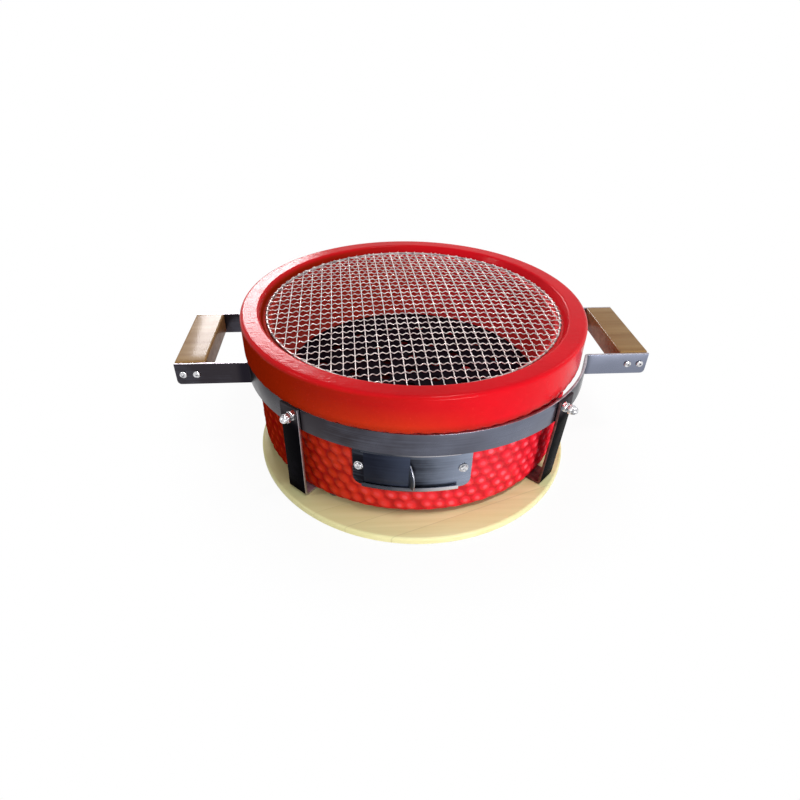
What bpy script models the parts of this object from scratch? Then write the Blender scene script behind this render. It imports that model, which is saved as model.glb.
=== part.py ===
"""Clay charcoal grill: a glazed clay bowl carried by a flat-bar steel frame, on a round board.

Metres, +Z up. The world origin is on the bowl's axis at the underside of the board.
The front, with the air slide, looks along -Y. Angles are measured round Z from +X.
"""
import math

import bmesh
import bpy
from mathutils import Matrix, Vector

OBJECT_NAME = "clay_charcoal_grill"

# Clearances
SEAT_GAP = 0.0003          # left between pieces that rest on each other
HOLE_CLEARANCE = 0.0003    # added to a shank's radius for its hole

# Board
BOARD_RADIUS = 0.190
BOARD_THICKNESS = 0.0095
BOARD_CENTRE_Y = -0.032    # the grill stands towards the back of its board
BOARD_EDGE = 0.0030

# Flat bar of the frame
BAR_THICKNESS = 0.0030
HOOP_HEIGHT = 0.0263
ARM_FACE_Y = 0.0616        # outer face of each arm, from the middle
ARM_ENDS = {-1.0: 0.2705, 1.0: 0.2725}   # left and right, from the bowl's axis
HOOP_SHIFT_X = 0.0049      # the hoops are wider than the bowl, which stands off their middles
HOOP_SHIFT_Y = 0.0060

# Legs
LEG_WIDTH = 0.0258
LEG_ANGLES = (-133.4, -46.5, 46.5, 133.4)   # round the middle of the hoop that a leg is on
LEG_LEANS = (0.0, 0.0045, 0.0045, 0.0)      # how far in a foot is bent below the hoop
LEG_BEND = 0.0045          # outside radius of the bend above the foot
LEG_KINK_DROP = 0.002      # a leaning leg starts to lean this far under the hoop
FOOT_LENGTH = 0.060

# Bowl, from the underside upward
PAD_HEIGHT = BAR_THICKNESS + 0.0005
BODY_HEIGHT = 0.11445
RIM_HEIGHT = 0.04365
FLOOR_THICKNESS = 0.0144
GRATE_LEDGE_HEIGHT = 0.0566
WELL_DEPTH = 0.0106        # from the rim's top down to the grid's ledge
BODY_RADIUS = 0.1892
BODY_TAPER = 0.0005
BODY_EDGE = 0.0060
RIM_OVER_BODY = 0.0108
HOOP_PLAY = 0.0022         # the hoops' inner radius over the rim's radius
RIM_WIDTH = 0.0216
RIM_OUTER_EDGE = 0.0045
RIM_INNER_EDGE = 0.0030
RIM_LOWER_EDGE = 0.0025
WELL_LIP = 0.0035          # the well is this much narrower than the rim's mouth
FLOOR_FILLET = 0.012       # round between the ash space's floor and its wall
GRID_LEDGE_WIDTH = 0.0100

# Charcoal grate
GRATE_RADIUS = 0.1567
GRATE_THICKNESS = 0.0040
GRATE_PLAY = 0.0020
GRATE_LEDGE_WIDTH = 0.0087
GRATE_HOLE_RADIUS = 0.0065
GRATE_RINGS = ((0.0, 1, 0.0), (0.036, 6, 22.6), (0.072, 12, 3.0), (0.115, 16, 11.6))

# Wire grid
GRID_PITCH = 0.01905
GRID_WIRE_RADIUS = 0.0008
GRID_LAYER_STEP = 0.0010   # height between the two layers of wires
GRID_RING_RADIUS = 0.0016
GRID_PLAY = 0.0022

# Sheet of the air slide, and its place round the bowl
SHEET = 0.0015
PLATE_FROM, PLATE_TO = -113.4, -76.2
RAIL_FROM, RAIL_TO = -110.2, -80.5
DOOR_FROM, DOOR_TO = -109.6, -95.5
VENT_HEIGHT = 0.0519
VENT_UNDER_HOOP = 0.0004
PLATE_CORNER = 0.0090
RAIL_LIP = 0.0050
PORT_ANGLE = -102.5
PORT_WIDTH = 0.038
PORT_HEIGHT = 0.032
PORT_CORNER = 0.005
TAB_LEAN = 38.0            # degrees that the door's tab leans from straight out
TAB_REACH = 0.0095
TAB_HEIGHT = 0.0310
PORT_BELOW_BOLTS = 0.001   # the port's middle is this far under the vent bolts
TAB_ABOVE_LIP = 0.0007     # the tab clears the lower rail's lip by this much
TAB_ROOT = 0.0004          # the tab is let into the door by this much

# Vent bolts
VENT_BOLT_ANGLES = (-111.3, -79.0)
VENT_BOLT_RADIUS = 0.0025
VENT_BOLT_DEPTH = 0.0160
VENT_HEAD_RADIUS = 0.0042
VENT_FLANGE_RADIUS = 0.0051
VENT_FLANGE = 0.0008
VENT_HEAD_HEIGHT = 0.0030

# Leg bolts
LEG_BOLT_RADIUS = 0.0030
LEG_BOLT_DROP = 0.0060     # below the top of the hoop
LEG_BOLT_ASIDE = 0.0078    # from the leg's middle towards the middle of its hoop
LEG_BOLT_SIDES = (1.0, -1.0, 1.0, -1.0)
LEG_HEAD_SEAT = 0.0008     # under the flat head, because the hoop's inside is curved
LEG_HEAD_RADIUS = 0.0055
LEG_HEAD_HEIGHT = 0.0030
NUT_WIDTH = 0.0100         # across its flats
NUT_HEIGHT = 0.0050
CAP_STANDOFF = 0.0018      # bare thread between the nut and the cap nut
CAP_BODY = 0.0045          # height of the cap nut's six-sided part
CAP_DOME_RADIUS = 0.0046
CAP_DOME_HEIGHT = 0.0052
CAP_BORE_DEPTH = 0.0035

# Handles
HANDLE_WIDTH = 0.034
HANDLE_HEIGHT = 0.0253
HANDLE_ABOVE_ARM = 0.00145
HANDLE_EDGE = 0.0025
SCREW_RADIUS = 0.0020
SCREW_DEPTH = 0.0120
SCREW_HEAD_RADIUS = 0.0042
SCREW_HEAD_HEIGHT = 0.0024
SCREWS_FROM_END = (0.0230, 0.0085)   # from the end of the arm

# Pads under the bowl
PAD_RADIUS = 0.0080
PAD_INSET = 0.0067         # from the flat of the bowl's underside in to the pads' middles
PAD_ANGLES = (-123.0, -3.0, 117.0)

# Steps round a full turn
BOWL_STEPS = 72
ARC_STEP = 3.0
ROUND_SIDES = 12

# How far cutting shapes reach past the pieces they cut
OVERREACH = 0.003
BOWL_OVERREACH = 0.010
PLATE_OVERREACH = 0.0011   # stops short of the rails' lips
PLATE_OVERRUN = 2.0        # degrees of plate swept past each end before its outline is cut
PLATE_CUT_DEPTH = 0.060
PLATE_CUT_SPARE = 0.0002

# Heights worked out from the sizes above
FOOT_UNDERSIDE = BOARD_THICKNESS + SEAT_GAP
BOWL_UNDERSIDE = FOOT_UNDERSIDE + PAD_HEIGHT + SEAT_GAP
RIM_UNDERSIDE = BOWL_UNDERSIDE + BODY_HEIGHT
RIM_TOP = RIM_UNDERSIDE + RIM_HEIGHT
HOOP_TOP = RIM_UNDERSIDE - SEAT_GAP
HOOP_MIDDLE = HOOP_TOP - HOOP_HEIGHT / 2
GRATE_LEDGE = BOWL_UNDERSIDE + GRATE_LEDGE_HEIGHT
GRID_LEDGE = RIM_TOP - WELL_DEPTH
GRID_MIDDLE = GRID_LEDGE + SEAT_GAP + GRID_RING_RADIUS
VENT_TOP = HOOP_TOP - HOOP_HEIGHT - VENT_UNDER_HOOP
VENT_BOTTOM = VENT_TOP - VENT_HEIGHT
VENT_MIDDLE = (VENT_BOTTOM + VENT_TOP) / 2
LEG_BOLT_HEIGHT = HOOP_TOP - LEG_BOLT_DROP

# Radii worked out from the sizes above
PLATE_INNER = BODY_RADIUS + SEAT_GAP
PLATE_OUTER = PLATE_INNER + SHEET
DOOR_INNER = PLATE_OUTER + SEAT_GAP
DOOR_OUTER = DOOR_INNER + SHEET
LIP_INNER = DOOR_OUTER + SEAT_GAP
LIP_OUTER = LIP_INNER + SHEET
RIM_RADIUS = BODY_RADIUS + RIM_OVER_BODY
HOOP_INNER = RIM_RADIUS + HOOP_PLAY
HOOP_OUTER = HOOP_INNER + BAR_THICKNESS
MOUTH_RADIUS = RIM_RADIUS - RIM_WIDTH
WELL_RADIUS = MOUTH_RADIUS - WELL_LIP
GRID_RADIUS = WELL_RADIUS - GRID_PLAY - GRID_RING_RADIUS
FIRE_TOP_RADIUS = WELL_RADIUS - GRID_LEDGE_WIDTH
FIRE_RADIUS = GRATE_RADIUS + GRATE_PLAY
ASH_RADIUS = GRATE_RADIUS - GRATE_LEDGE_WIDTH
LEG_INNER = HOOP_OUTER + SEAT_GAP
LEG_OUTER = LEG_INNER + BAR_THICKNESS
PAD_CIRCLE = BODY_RADIUS - BODY_TAPER - BODY_EDGE - PAD_INSET


def clear_scene():
    for obj in list(bpy.data.objects):
        bpy.data.objects.remove(obj, do_unlink=True)


def new_collection(name):
    made = bpy.data.collections.new(name)
    bpy.context.scene.collection.children.link(made)
    return made


clear_scene()
PARTS = new_collection(OBJECT_NAME)
CUTTERS = new_collection("cutters")


def make_material(name, colour, roughness, metallic):
    mat = bpy.data.materials.new(name)
    mat.use_nodes = True
    shader = mat.node_tree.nodes["Principled BSDF"]
    shader.inputs["Base Color"].default_value = (*colour, 1.0)
    shader.inputs["Roughness"].default_value = roughness
    shader.inputs["Metallic"].default_value = metallic
    mat.diffuse_color = (*colour, 1.0)
    return mat


def smooth(mesh):
    mesh.shade_smooth()
    mesh.set_sharp_from_angle(angle=math.radians(35))


def add_object(name, mesh, collection):
    obj = bpy.data.objects.new(name, mesh)
    collection.objects.link(obj)
    return obj


def evaluated_mesh(obj):
    """Mesh of an object with its modifiers or curve settings applied, welded and facing out."""
    bpy.context.view_layer.update()
    graph = bpy.context.evaluated_depsgraph_get()
    mesh = bpy.data.meshes.new_from_object(obj.evaluated_get(graph))
    bm = bmesh.new()
    bm.from_mesh(mesh)
    bmesh.ops.remove_doubles(bm, verts=bm.verts, dist=1e-6)
    bmesh.ops.holes_fill(bm, edges=bm.edges, sides=0)
    bmesh.ops.recalc_face_normals(bm, faces=bm.faces)
    bm.to_mesh(mesh)
    bm.free()
    return mesh


def replace_with_mesh(obj, collection, name):
    """Put a plain mesh object in the place of a curve or a modified object."""
    mesh = evaluated_mesh(obj)
    mesh.name = name
    world = obj.matrix_world.copy()
    bpy.data.objects.remove(obj, do_unlink=True)
    made = add_object(name, mesh, collection)
    made.matrix_world = world
    smooth(mesh)
    return made


def turned(name, profile, steps=ROUND_SIDES, collection=PARTS):
    """Turn (radius, height) points round Z; a point on the axis closes the shape."""
    mesh = bpy.data.meshes.new(name)
    bm = bmesh.new()
    verts = [bm.verts.new((r, 0.0, z)) for r, z in profile]
    for a, b in zip(verts, verts[1:]):
        bm.edges.new((a, b))
    bm.to_mesh(mesh)
    bm.free()
    obj = add_object(name + "_profile", mesh, collection)
    screw = obj.modifiers.new("turn", "SCREW")
    screw.steps = steps
    screw.render_steps = steps
    screw.use_merge_vertices = True
    screw.merge_threshold = 1e-5
    return replace_with_mesh(obj, collection, name)


def swept(name, profile, start, end, collection=PARTS):
    """Sweep a closed (radius, height) outline round Z from one angle to another."""
    mesh = bpy.data.meshes.new(name)
    bm = bmesh.new()
    verts = [bm.verts.new((r, 0.0, z)) for r, z in profile]
    for a, b in zip(verts, verts[1:] + verts[:1]):
        bm.edges.new((a, b))
    bmesh.ops.rotate(bm, verts=bm.verts, matrix=Matrix.Rotation(math.radians(start), 3, "Z"))
    bm.to_mesh(mesh)
    bm.free()
    obj = add_object(name + "_profile", mesh, collection)
    screw = obj.modifiers.new("sweep", "SCREW")
    screw.angle = math.radians(end - start)
    steps = max(2, round((end - start) / ARC_STEP))
    screw.steps = steps
    screw.render_steps = steps
    screw.use_merge_vertices = False
    return replace_with_mesh(obj, collection, name)


def flat_shape(name, outlines, thickness, collection=PARTS, matrix=None):
    """Fill flat outlines, the first one outside and the rest holes, and thicken them along Z."""
    curve = bpy.data.curves.new(name, "CURVE")
    curve.dimensions = "2D"
    curve.fill_mode = "BOTH"
    curve.extrude = thickness / 2
    for outline in outlines:
        spline = curve.splines.new("POLY")
        spline.points.add(len(outline) - 1)
        for point, (x, y) in zip(spline.points, outline):
            point.co = (x, y, 0.0, 1.0)
        spline.use_cyclic_u = True
    obj = add_object(name + "_outline", curve, collection)
    if matrix is not None:
        obj.matrix_world = matrix
    return replace_with_mesh(obj, collection, name)


def boolean(obj, other, operation):
    modifier = obj.modifiers.new(other.name, "BOOLEAN")
    modifier.operation = operation
    modifier.object = other
    modifier.solver = "EXACT"


def as_cutter(obj):
    for collection in list(obj.users_collection):
        collection.objects.unlink(obj)
    CUTTERS.objects.link(obj)
    obj.hide_render = True
    obj.display_type = "WIRE"
    return obj


def cut(obj, cutter):
    boolean(obj, as_cutter(cutter), "DIFFERENCE")


def join(obj, other):
    boolean(obj, as_cutter(other), "UNION")


def keep_common(obj, other):
    boolean(obj, as_cutter(other), "INTERSECT")


def arc(cx, cy, radius, start, end, steps):
    """Points on an arc, both ends included, angles in degrees."""
    points = []
    for i in range(steps + 1):
        a = math.radians(start + (end - start) * i / steps)
        points.append((cx + radius * math.cos(a), cy + radius * math.sin(a)))
    return points


def circle(radius, sides, cx=0.0, cy=0.0):
    return arc(cx, cy, radius, 0.0, 360.0, sides)[:-1]


def rounded_rectangle(width, height, corner):
    x = width / 2 - corner
    y = height / 2 - corner
    points = []
    for cx, cy, start in ((x, y, 0), (-x, y, 90), (-x, -y, 180), (x, -y, 270)):
        points += arc(cx, cy, corner, start, start + 90, 4)
    return points


def radial_frame(angle, radius, height):
    """Frame at a place on the bowl: local Z points outward, local Y up, local X to the side."""
    a = math.radians(angle)
    outward = Vector((math.cos(a), math.sin(a), 0.0))
    up = Vector((0.0, 0.0, 1.0))
    side = up.cross(outward)
    frame = Matrix((side, up, outward)).transposed().to_4x4()
    frame.translation = outward * radius + up * height
    return frame


def hoop_middle(angle):
    """Middle of the front hoop for angles below 0, and of the rear one above."""
    return Vector((HOOP_SHIFT_X, HOOP_SHIFT_Y if angle < 0 else -HOOP_SHIFT_Y, 0.0))


def hoop_frame(angle, radius, height, aside=0.0):
    """Like radial_frame, but round the middle of a hoop and moved aside along local X."""
    frame = radial_frame(angle, radius, height)
    frame.translation += hoop_middle(angle) + frame.col[0].xyz * aside
    return frame


def rod(name, radius, low, high, frame, collection=CUTTERS):
    """Cylinder along a frame's local Z between two distances."""
    mesh = bpy.data.meshes.new(name)
    bm = bmesh.new()
    bmesh.ops.create_cone(bm, cap_ends=True, segments=ROUND_SIDES, radius1=radius,
                          radius2=radius, depth=high - low)
    bmesh.ops.translate(bm, verts=bm.verts, vec=(0.0, 0.0, (low + high) / 2))
    bm.to_mesh(mesh)
    bm.free()
    smooth(mesh)
    obj = add_object(name, mesh, collection)
    obj.matrix_world = frame
    return obj


def shared_copy(obj, name, frame, collection=PARTS):
    made = add_object(name, obj.data, collection)
    made.matrix_world = frame
    return made


def paint(obj, mat):
    if not obj.data.materials:
        obj.data.materials.append(mat)


def make_board(mat):
    top = BOARD_THICKNESS
    r = BOARD_RADIUS
    e = BOARD_EDGE
    profile = [(0.0, top)] + [(x, y) for x, y in arc(r - e, top - e, e, 90, 0, 3)]
    profile += [(x, y) for x, y in arc(r - e, e, e, 0, -90, 3)] + [(0.0, 0.0)]
    board = turned("serving_board", profile, BOWL_STEPS)
    board.location = (0.0, BOARD_CENTRE_Y, 0.0)
    paint(board, mat)


def bowl_profile():
    """Section from the middle of the floor, up inside, over the rim and down outside."""
    floor = BOWL_UNDERSIDE + FLOOR_THICKNESS
    points = [(0.0, floor)]
    points += arc(ASH_RADIUS - FLOOR_FILLET, floor + FLOOR_FILLET, FLOOR_FILLET, -90, 0, 3)
    points += [(ASH_RADIUS, GRATE_LEDGE), (FIRE_RADIUS, GRATE_LEDGE)]
    points += [(FIRE_TOP_RADIUS, GRID_LEDGE), (WELL_RADIUS, GRID_LEDGE)]
    e = RIM_INNER_EDGE
    points += arc(MOUTH_RADIUS + e, RIM_TOP - e, e, 165, 90, 2)
    e = RIM_OUTER_EDGE
    points += arc(RIM_RADIUS - e, RIM_TOP - e, e, 90, 0, 3)
    e = RIM_LOWER_EDGE
    points += arc(RIM_RADIUS - e, RIM_UNDERSIDE + e, e, 0, -90, 2)
    points += [(BODY_RADIUS, RIM_UNDERSIDE)]
    e = BODY_EDGE
    points += arc(BODY_RADIUS - BODY_TAPER - e, BOWL_UNDERSIDE + e, e, 0, -90, 3)
    points += [(0.0, BOWL_UNDERSIDE)]
    return points


def port_cutter(name, low, high):
    outline = rounded_rectangle(PORT_WIDTH, PORT_HEIGHT, PORT_CORNER)
    frame = radial_frame(PORT_ANGLE, (low + high) / 2, VENT_MIDDLE - PORT_BELOW_BOLTS)
    return flat_shape(name, [outline], high - low, CUTTERS, frame)


def make_bowl(mat):
    bowl = turned("clay_bowl", bowl_profile(), BOWL_STEPS)
    cut(bowl, port_cutter("bowl_port", ASH_RADIUS - BOWL_OVERREACH, BODY_RADIUS + OVERREACH))
    for i, angle in enumerate(VENT_BOLT_ANGLES):
        frame = radial_frame(angle, 0.0, VENT_MIDDLE)
        depth = PLATE_OUTER - VENT_BOLT_DEPTH - SEAT_GAP
        cut(bowl, rod(f"bowl_bore_{i}", VENT_BOLT_RADIUS + HOLE_CLEARANCE, depth,
                      BODY_RADIUS + OVERREACH, frame))
    paint(bowl, mat)


def make_pads(mat):
    half = PAD_HEIGHT / 2
    profile = [(0.0, half), (PAD_RADIUS, half), (PAD_RADIUS, -half), (0.0, -half)]
    first = None
    for i, angle in enumerate(PAD_ANGLES):
        a = math.radians(angle)
        place = Matrix.Translation((PAD_CIRCLE * math.cos(a), PAD_CIRCLE * math.sin(a),
                                    FOOT_UNDERSIDE + half))
        if first is None:
            first = turned(f"bowl_pad_{i + 1}", profile)
            first.matrix_world = place
            paint(first, mat)
        else:
            shared_copy(first, f"bowl_pad_{i + 1}", place)


def make_charcoal_grate(mat):
    outlines = [circle(GRATE_RADIUS, BOWL_STEPS)]
    for radius, count, phase in GRATE_RINGS:
        for i in range(count):
            a = math.radians(phase + 360.0 * i / count)
            outlines.append(circle(GRATE_HOLE_RADIUS, 10, radius * math.cos(a), radius * math.sin(a)))
    grate = flat_shape("charcoal_grate", outlines, GRATE_THICKNESS)
    grate.location = (0.0, 0.0, GRATE_LEDGE + SEAT_GAP + GRATE_THICKNESS / 2)
    paint(grate, mat)


def straight_wires(name, along_x, height):
    """One layer of the grid: parallel wires cut to the ring's circle."""
    mesh = bpy.data.meshes.new(name)
    bm = bmesh.new()
    count = int(GRID_RADIUS / GRID_PITCH)
    for i in range(-count, count):
        offset = (i + 0.5) * GRID_PITCH
        half = math.sqrt(GRID_RADIUS ** 2 - offset ** 2)
        turn = Matrix.Rotation(math.pi / 2, 4, "Y" if along_x else "X")
        place = (0.0, offset, height) if along_x else (offset, 0.0, height)
        bmesh.ops.create_cone(bm, cap_ends=True, segments=6, radius1=GRID_WIRE_RADIUS,
                              radius2=GRID_WIRE_RADIUS, depth=2 * half,
                              matrix=Matrix.Translation(place) @ turn)
    bm.to_mesh(mesh)
    bm.free()
    smooth(mesh)
    return add_object(name, mesh, PARTS)


def make_cooking_grid(mat):
    """Flat grid: two layers of crossing wires, welded to each other and to the ring wire."""
    ring = turned("cooking_grid", circle_profile(GRID_RADIUS, GRID_RING_RADIUS, 6), BOWL_STEPS)
    join(ring, straight_wires("wires_across", True, GRID_LAYER_STEP / 2))
    join(ring, straight_wires("wires_deep", False, -GRID_LAYER_STEP / 2))
    ring.location = (0.0, 0.0, GRID_MIDDLE)
    for name in ("wires_across", "wires_deep"):
        bpy.data.objects[name].location.z = GRID_MIDDLE
    paint(ring, mat)


def circle_profile(major, minor, sides):
    points = [(major + x, z) for x, z in circle(minor, sides)]
    points.reverse()
    return points + points[:1]


def hoop_outline(side):
    """Plan of one half hoop: an arc between two sharp bends, with a straight arm at each end."""
    def curved(radius, face_y):
        bend = math.degrees(math.asin((face_y + HOOP_SHIFT_Y) / radius))
        steps = round((180 - 2 * bend) / ARC_STEP)
        return arc(HOOP_SHIFT_X, HOOP_SHIFT_Y, radius, bend - 180, -bend, steps)
    outer = curved(HOOP_OUTER, ARM_FACE_Y)
    inner = curved(HOOP_INNER, ARM_FACE_Y - BAR_THICKNESS)
    y_out = -ARM_FACE_Y
    y_in = -ARM_FACE_Y + BAR_THICKNESS
    left, right = -ARM_ENDS[-1.0], ARM_ENDS[1.0]
    outline = [(left, y_out)] + outer + [(right, y_out), (right, y_in)] + inner[::-1] + [(left, y_in)]
    return [(x, -side * y) for x, y in outline]


def make_hoop(name, side, legs, mat):
    """Flat-bar half hoop; side is -1 for the front one and 1 for the rear one."""
    lift = Matrix.Translation((0.0, 0.0, HOOP_MIDDLE))
    hoop = flat_shape(name, [hoop_outline(side)], HOOP_HEIGHT, PARTS, lift)
    for i in legs:
        frame = hoop_frame(LEG_ANGLES[i], 0.0, LEG_BOLT_HEIGHT, LEG_BOLT_SIDES[i] * LEG_BOLT_ASIDE)
        cut(hoop, rod(f"{name}_bolt_hole_{i}", LEG_BOLT_RADIUS + HOLE_CLEARANCE,
                      HOOP_INNER - OVERREACH, HOOP_OUTER + OVERREACH, frame))
    for arm, end in ARM_ENDS.items():
        for from_end in SCREWS_FROM_END:
            x = arm * (end - from_end)
            cut(hoop, rod(f"{name}_screw_hole_{x:.4f}", SCREW_RADIUS + HOLE_CLEARANCE,
                          -BAR_THICKNESS - OVERREACH, OVERREACH, arm_frame(x, side)))
    paint(hoop, mat)


def arm_frame(x, side):
    """Frame on an arm's outer face: local Z points away from the handle."""
    frame = Matrix.Rotation(math.radians(90 if side < 0 else -90), 4, "X")
    frame.translation = (x, side * ARM_FACE_Y, HOOP_MIDDLE)
    return frame


def make_handles(mat):
    half_length = ARM_FACE_Y - BAR_THICKNESS - SEAT_GAP
    middle_z = HOOP_TOP + HANDLE_ABOVE_ARM - HANDLE_HEIGHT / 2
    for name, sign in (("left_handle", -1.0), ("right_handle", 1.0)):
        mesh = bpy.data.meshes.new(name)
        bm = bmesh.new()
        bmesh.ops.create_cube(bm, size=1.0)
        bmesh.ops.scale(bm, verts=bm.verts, vec=(HANDLE_WIDTH, 2 * half_length, HANDLE_HEIGHT))
        bm.to_mesh(mesh)
        bm.free()
        handle = add_object(name, mesh, PARTS)
        handle.location = (sign * (ARM_ENDS[sign] - HANDLE_WIDTH / 2), 0.0, middle_z)
        bevel = handle.modifiers.new("edges", "BEVEL")
        bevel.width = HANDLE_EDGE
        bevel.segments = 2
        for side in (-1.0, 1.0):
            for i, from_end in enumerate(SCREWS_FROM_END):
                x = ARM_ENDS[sign] - from_end
                bore = rod(f"{name}_bore_{i}_{'front' if side < 0 else 'rear'}",
                           SCREW_RADIUS + HOLE_CLEARANCE, -SCREW_DEPTH - SEAT_GAP,
                           OVERREACH, arm_frame(sign * x, side))
                cut(handle, bore)
        paint(handle, mat)


def headed_profile(head_radius, head_height, shank_radius, shank_length, dome=0.35):
    """Screw on its own axis: domed head above 0, shank below."""
    flank = head_height * (1 - dome)
    return [(0.0, head_height), (head_radius * 0.62, head_height * 0.94),
            (head_radius, flank), (head_radius, SEAT_GAP), (shank_radius, SEAT_GAP),
            (shank_radius, -shank_length), (0.0, -shank_length)]


def make_handle_screws(mat):
    profile = headed_profile(SCREW_HEAD_RADIUS, SCREW_HEAD_HEIGHT, SCREW_RADIUS, SCREW_DEPTH)
    first = None
    for side_name, sign in (("left", -1.0), ("right", 1.0)):
        for end_name, side in (("front", -1.0), ("rear", 1.0)):
            for i, from_end in enumerate(SCREWS_FROM_END):
                name = f"handle_screw_{side_name}_{end_name}_{i + 1}"
                frame = arm_frame(sign * (ARM_ENDS[sign] - from_end), side)
                if first is None:
                    first = turned(name, profile, 10)
                    first.matrix_world = frame
                    paint(first, mat)
                else:
                    shared_copy(first, name, frame)


def leg_outline(lean):
    """Side view of a leg: bar upright on the hoop, leaning in below it, and turned in as a foot."""
    height = HOOP_TOP - FOOT_UNDERSIDE
    kink = height - HOOP_HEIGHT - LEG_KINK_DROP
    bend_x = -lean - LEG_BEND
    outer = arc(bend_x, LEG_BEND, LEG_BEND, 0, -90, 4)
    inner = arc(bend_x, LEG_BEND, LEG_BEND - BAR_THICKNESS, -90, 0, 4)
    outline = [(0.0, height), (0.0, kink)] + outer
    outline += [(-FOOT_LENGTH, 0.0), (-FOOT_LENGTH, BAR_THICKNESS)]
    return outline + inner + [(-BAR_THICKNESS, kink), (-BAR_THICKNESS, height)]


def side_frame(angle):
    """Frame at a leg's outer face: local X outward, local Y up, local Z to the side."""
    a = math.radians(angle)
    outward = Vector((math.cos(a), math.sin(a), 0.0))
    up = Vector((0.0, 0.0, 1.0))
    frame = Matrix((outward, up, outward.cross(up))).transposed().to_4x4()
    frame.translation = hoop_middle(angle) + outward * LEG_OUTER + up * FOOT_UNDERSIDE
    return frame


def hexagon(width):
    return circle(width / 2 / math.cos(math.pi / 6), 6)


def make_cap_nut(number, frame, bore, mat):
    """Six-sided nut closed by a dome, on the outer end of a leg bolt."""
    sides = [hexagon(NUT_WIDTH), circle(bore, ROUND_SIDES)]
    middle = frame @ Matrix.Translation((0.0, 0.0, CAP_BODY / 2))
    nut = flat_shape(f"leg_cap_nut_{number}", sides, CAP_BODY, PARTS, middle)
    profile = [(0.0, CAP_BORE_DEPTH), (CAP_DOME_RADIUS, CAP_BORE_DEPTH)]
    for r, z in arc(0.0, 0.0, 1.0, 0, 90, 4)[:-1]:
        profile.append((CAP_DOME_RADIUS * r, CAP_BODY + CAP_DOME_HEIGHT * z))
    profile.append((0.0, CAP_BODY + CAP_DOME_HEIGHT))
    dome = turned(f"leg_cap_dome_{number}", profile)
    dome.matrix_world = frame
    join(nut, dome)
    paint(nut, mat)


def make_legs(steel, bright):
    """Four legs, each held to the hoop by a bolt from inside, a nut and a cap nut."""
    head_seat = HOOP_INNER - LEG_HEAD_SEAT
    bolt_profile = headed_profile(LEG_HEAD_RADIUS, LEG_HEAD_HEIGHT, LEG_BOLT_RADIUS, 0.0)[:-2]
    nut_base = LEG_OUTER + SEAT_GAP
    cap_base = nut_base + NUT_HEIGHT + CAP_STANDOFF
    bolt_end = cap_base + CAP_BORE_DEPTH - SEAT_GAP
    bolt_profile += [(LEG_BOLT_RADIUS, head_seat - bolt_end), (0.0, head_seat - bolt_end)]
    bore = LEG_BOLT_RADIUS + HOLE_CLEARANCE
    flip = Matrix.Rotation(math.pi, 4, "X")
    shared = {}
    for number, (angle, lean, side) in enumerate(zip(LEG_ANGLES, LEG_LEANS, LEG_BOLT_SIDES), start=1):
        aside = side * LEG_BOLT_ASIDE
        names = {kind: f"{kind}_{number}" for kind in ("leg", "leg_bolt", "leg_nut")}
        leg = flat_shape(names["leg"], [leg_outline(lean)], LEG_WIDTH, PARTS, side_frame(angle))
        axis = hoop_frame(angle, 0.0, LEG_BOLT_HEIGHT, aside)
        cut(leg, rod(f"leg_hole_{number}", bore, LEG_INNER - OVERREACH, LEG_OUTER + OVERREACH, axis))
        paint(leg, steel)
        make_cap_nut(number, hoop_frame(angle, cap_base, LEG_BOLT_HEIGHT, aside), bore, bright)
        places = {
            "leg_bolt": hoop_frame(angle, head_seat, LEG_BOLT_HEIGHT, aside) @ flip,
            "leg_nut": hoop_frame(angle, nut_base + NUT_HEIGHT / 2, LEG_BOLT_HEIGHT, aside),
        }
        if not shared:
            shared["leg_bolt"] = turned(names["leg_bolt"], bolt_profile)
            shared["leg_nut"] = flat_shape(names["leg_nut"], [hexagon(NUT_WIDTH),
                                           circle(bore, ROUND_SIDES)], NUT_HEIGHT)
            for kind, obj in shared.items():
                obj.matrix_world = places[kind]
                paint(obj, bright)
        else:
            for kind, obj in shared.items():
                shared_copy(obj, names[kind], places[kind])


def make_vent_plate(mat):
    """Curved plate on the bowl, its long edges folded into rails for the door."""
    bottom, top = VENT_BOTTOM, VENT_TOP
    inner, outer = PLATE_INNER, PLATE_OUTER
    plate = swept("vent_plate", [(inner, top), (outer, top), (outer, bottom), (inner, bottom)],
                  PLATE_FROM - PLATE_OVERRUN, PLATE_TO + PLATE_OVERRUN)
    middle = (PLATE_FROM + PLATE_TO) / 2
    half_width = PLATE_OUTER * math.sin(math.radians((PLATE_TO - PLATE_FROM) / 2))
    frame = radial_frame(middle, PLATE_INNER, VENT_MIDDLE)
    outline = rounded_rectangle(2 * half_width, VENT_HEIGHT + PLATE_CUT_SPARE, PLATE_CORNER)
    keep_common(plate, flat_shape("plate_shape", [outline], PLATE_CUT_DEPTH, CUTTERS, frame))
    overlap = SHEET / 2
    for name, edge, step in (("lower_rail", bottom, 1.0), ("upper_rail", top, -1.0)):
        rail = [(outer - overlap, edge), (LIP_OUTER, edge), (LIP_OUTER, edge + step * RAIL_LIP),
                (LIP_INNER, edge + step * RAIL_LIP), (LIP_INNER, edge + step * SHEET),
                (outer - overlap, edge + step * SHEET)]
        join(plate, swept(name, rail, RAIL_FROM, RAIL_TO))
    cut(plate, port_cutter("plate_port", PLATE_INNER - BOWL_OVERREACH, PLATE_OUTER + PLATE_OVERREACH))
    for i, angle in enumerate(VENT_BOLT_ANGLES):
        frame = radial_frame(angle, 0.0, VENT_MIDDLE)
        cut(plate, rod(f"plate_hole_{i}", VENT_BOLT_RADIUS + HOLE_CLEARANCE,
                       PLATE_INNER - OVERREACH, PLATE_OUTER + OVERREACH, frame))
    paint(plate, mat)


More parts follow.
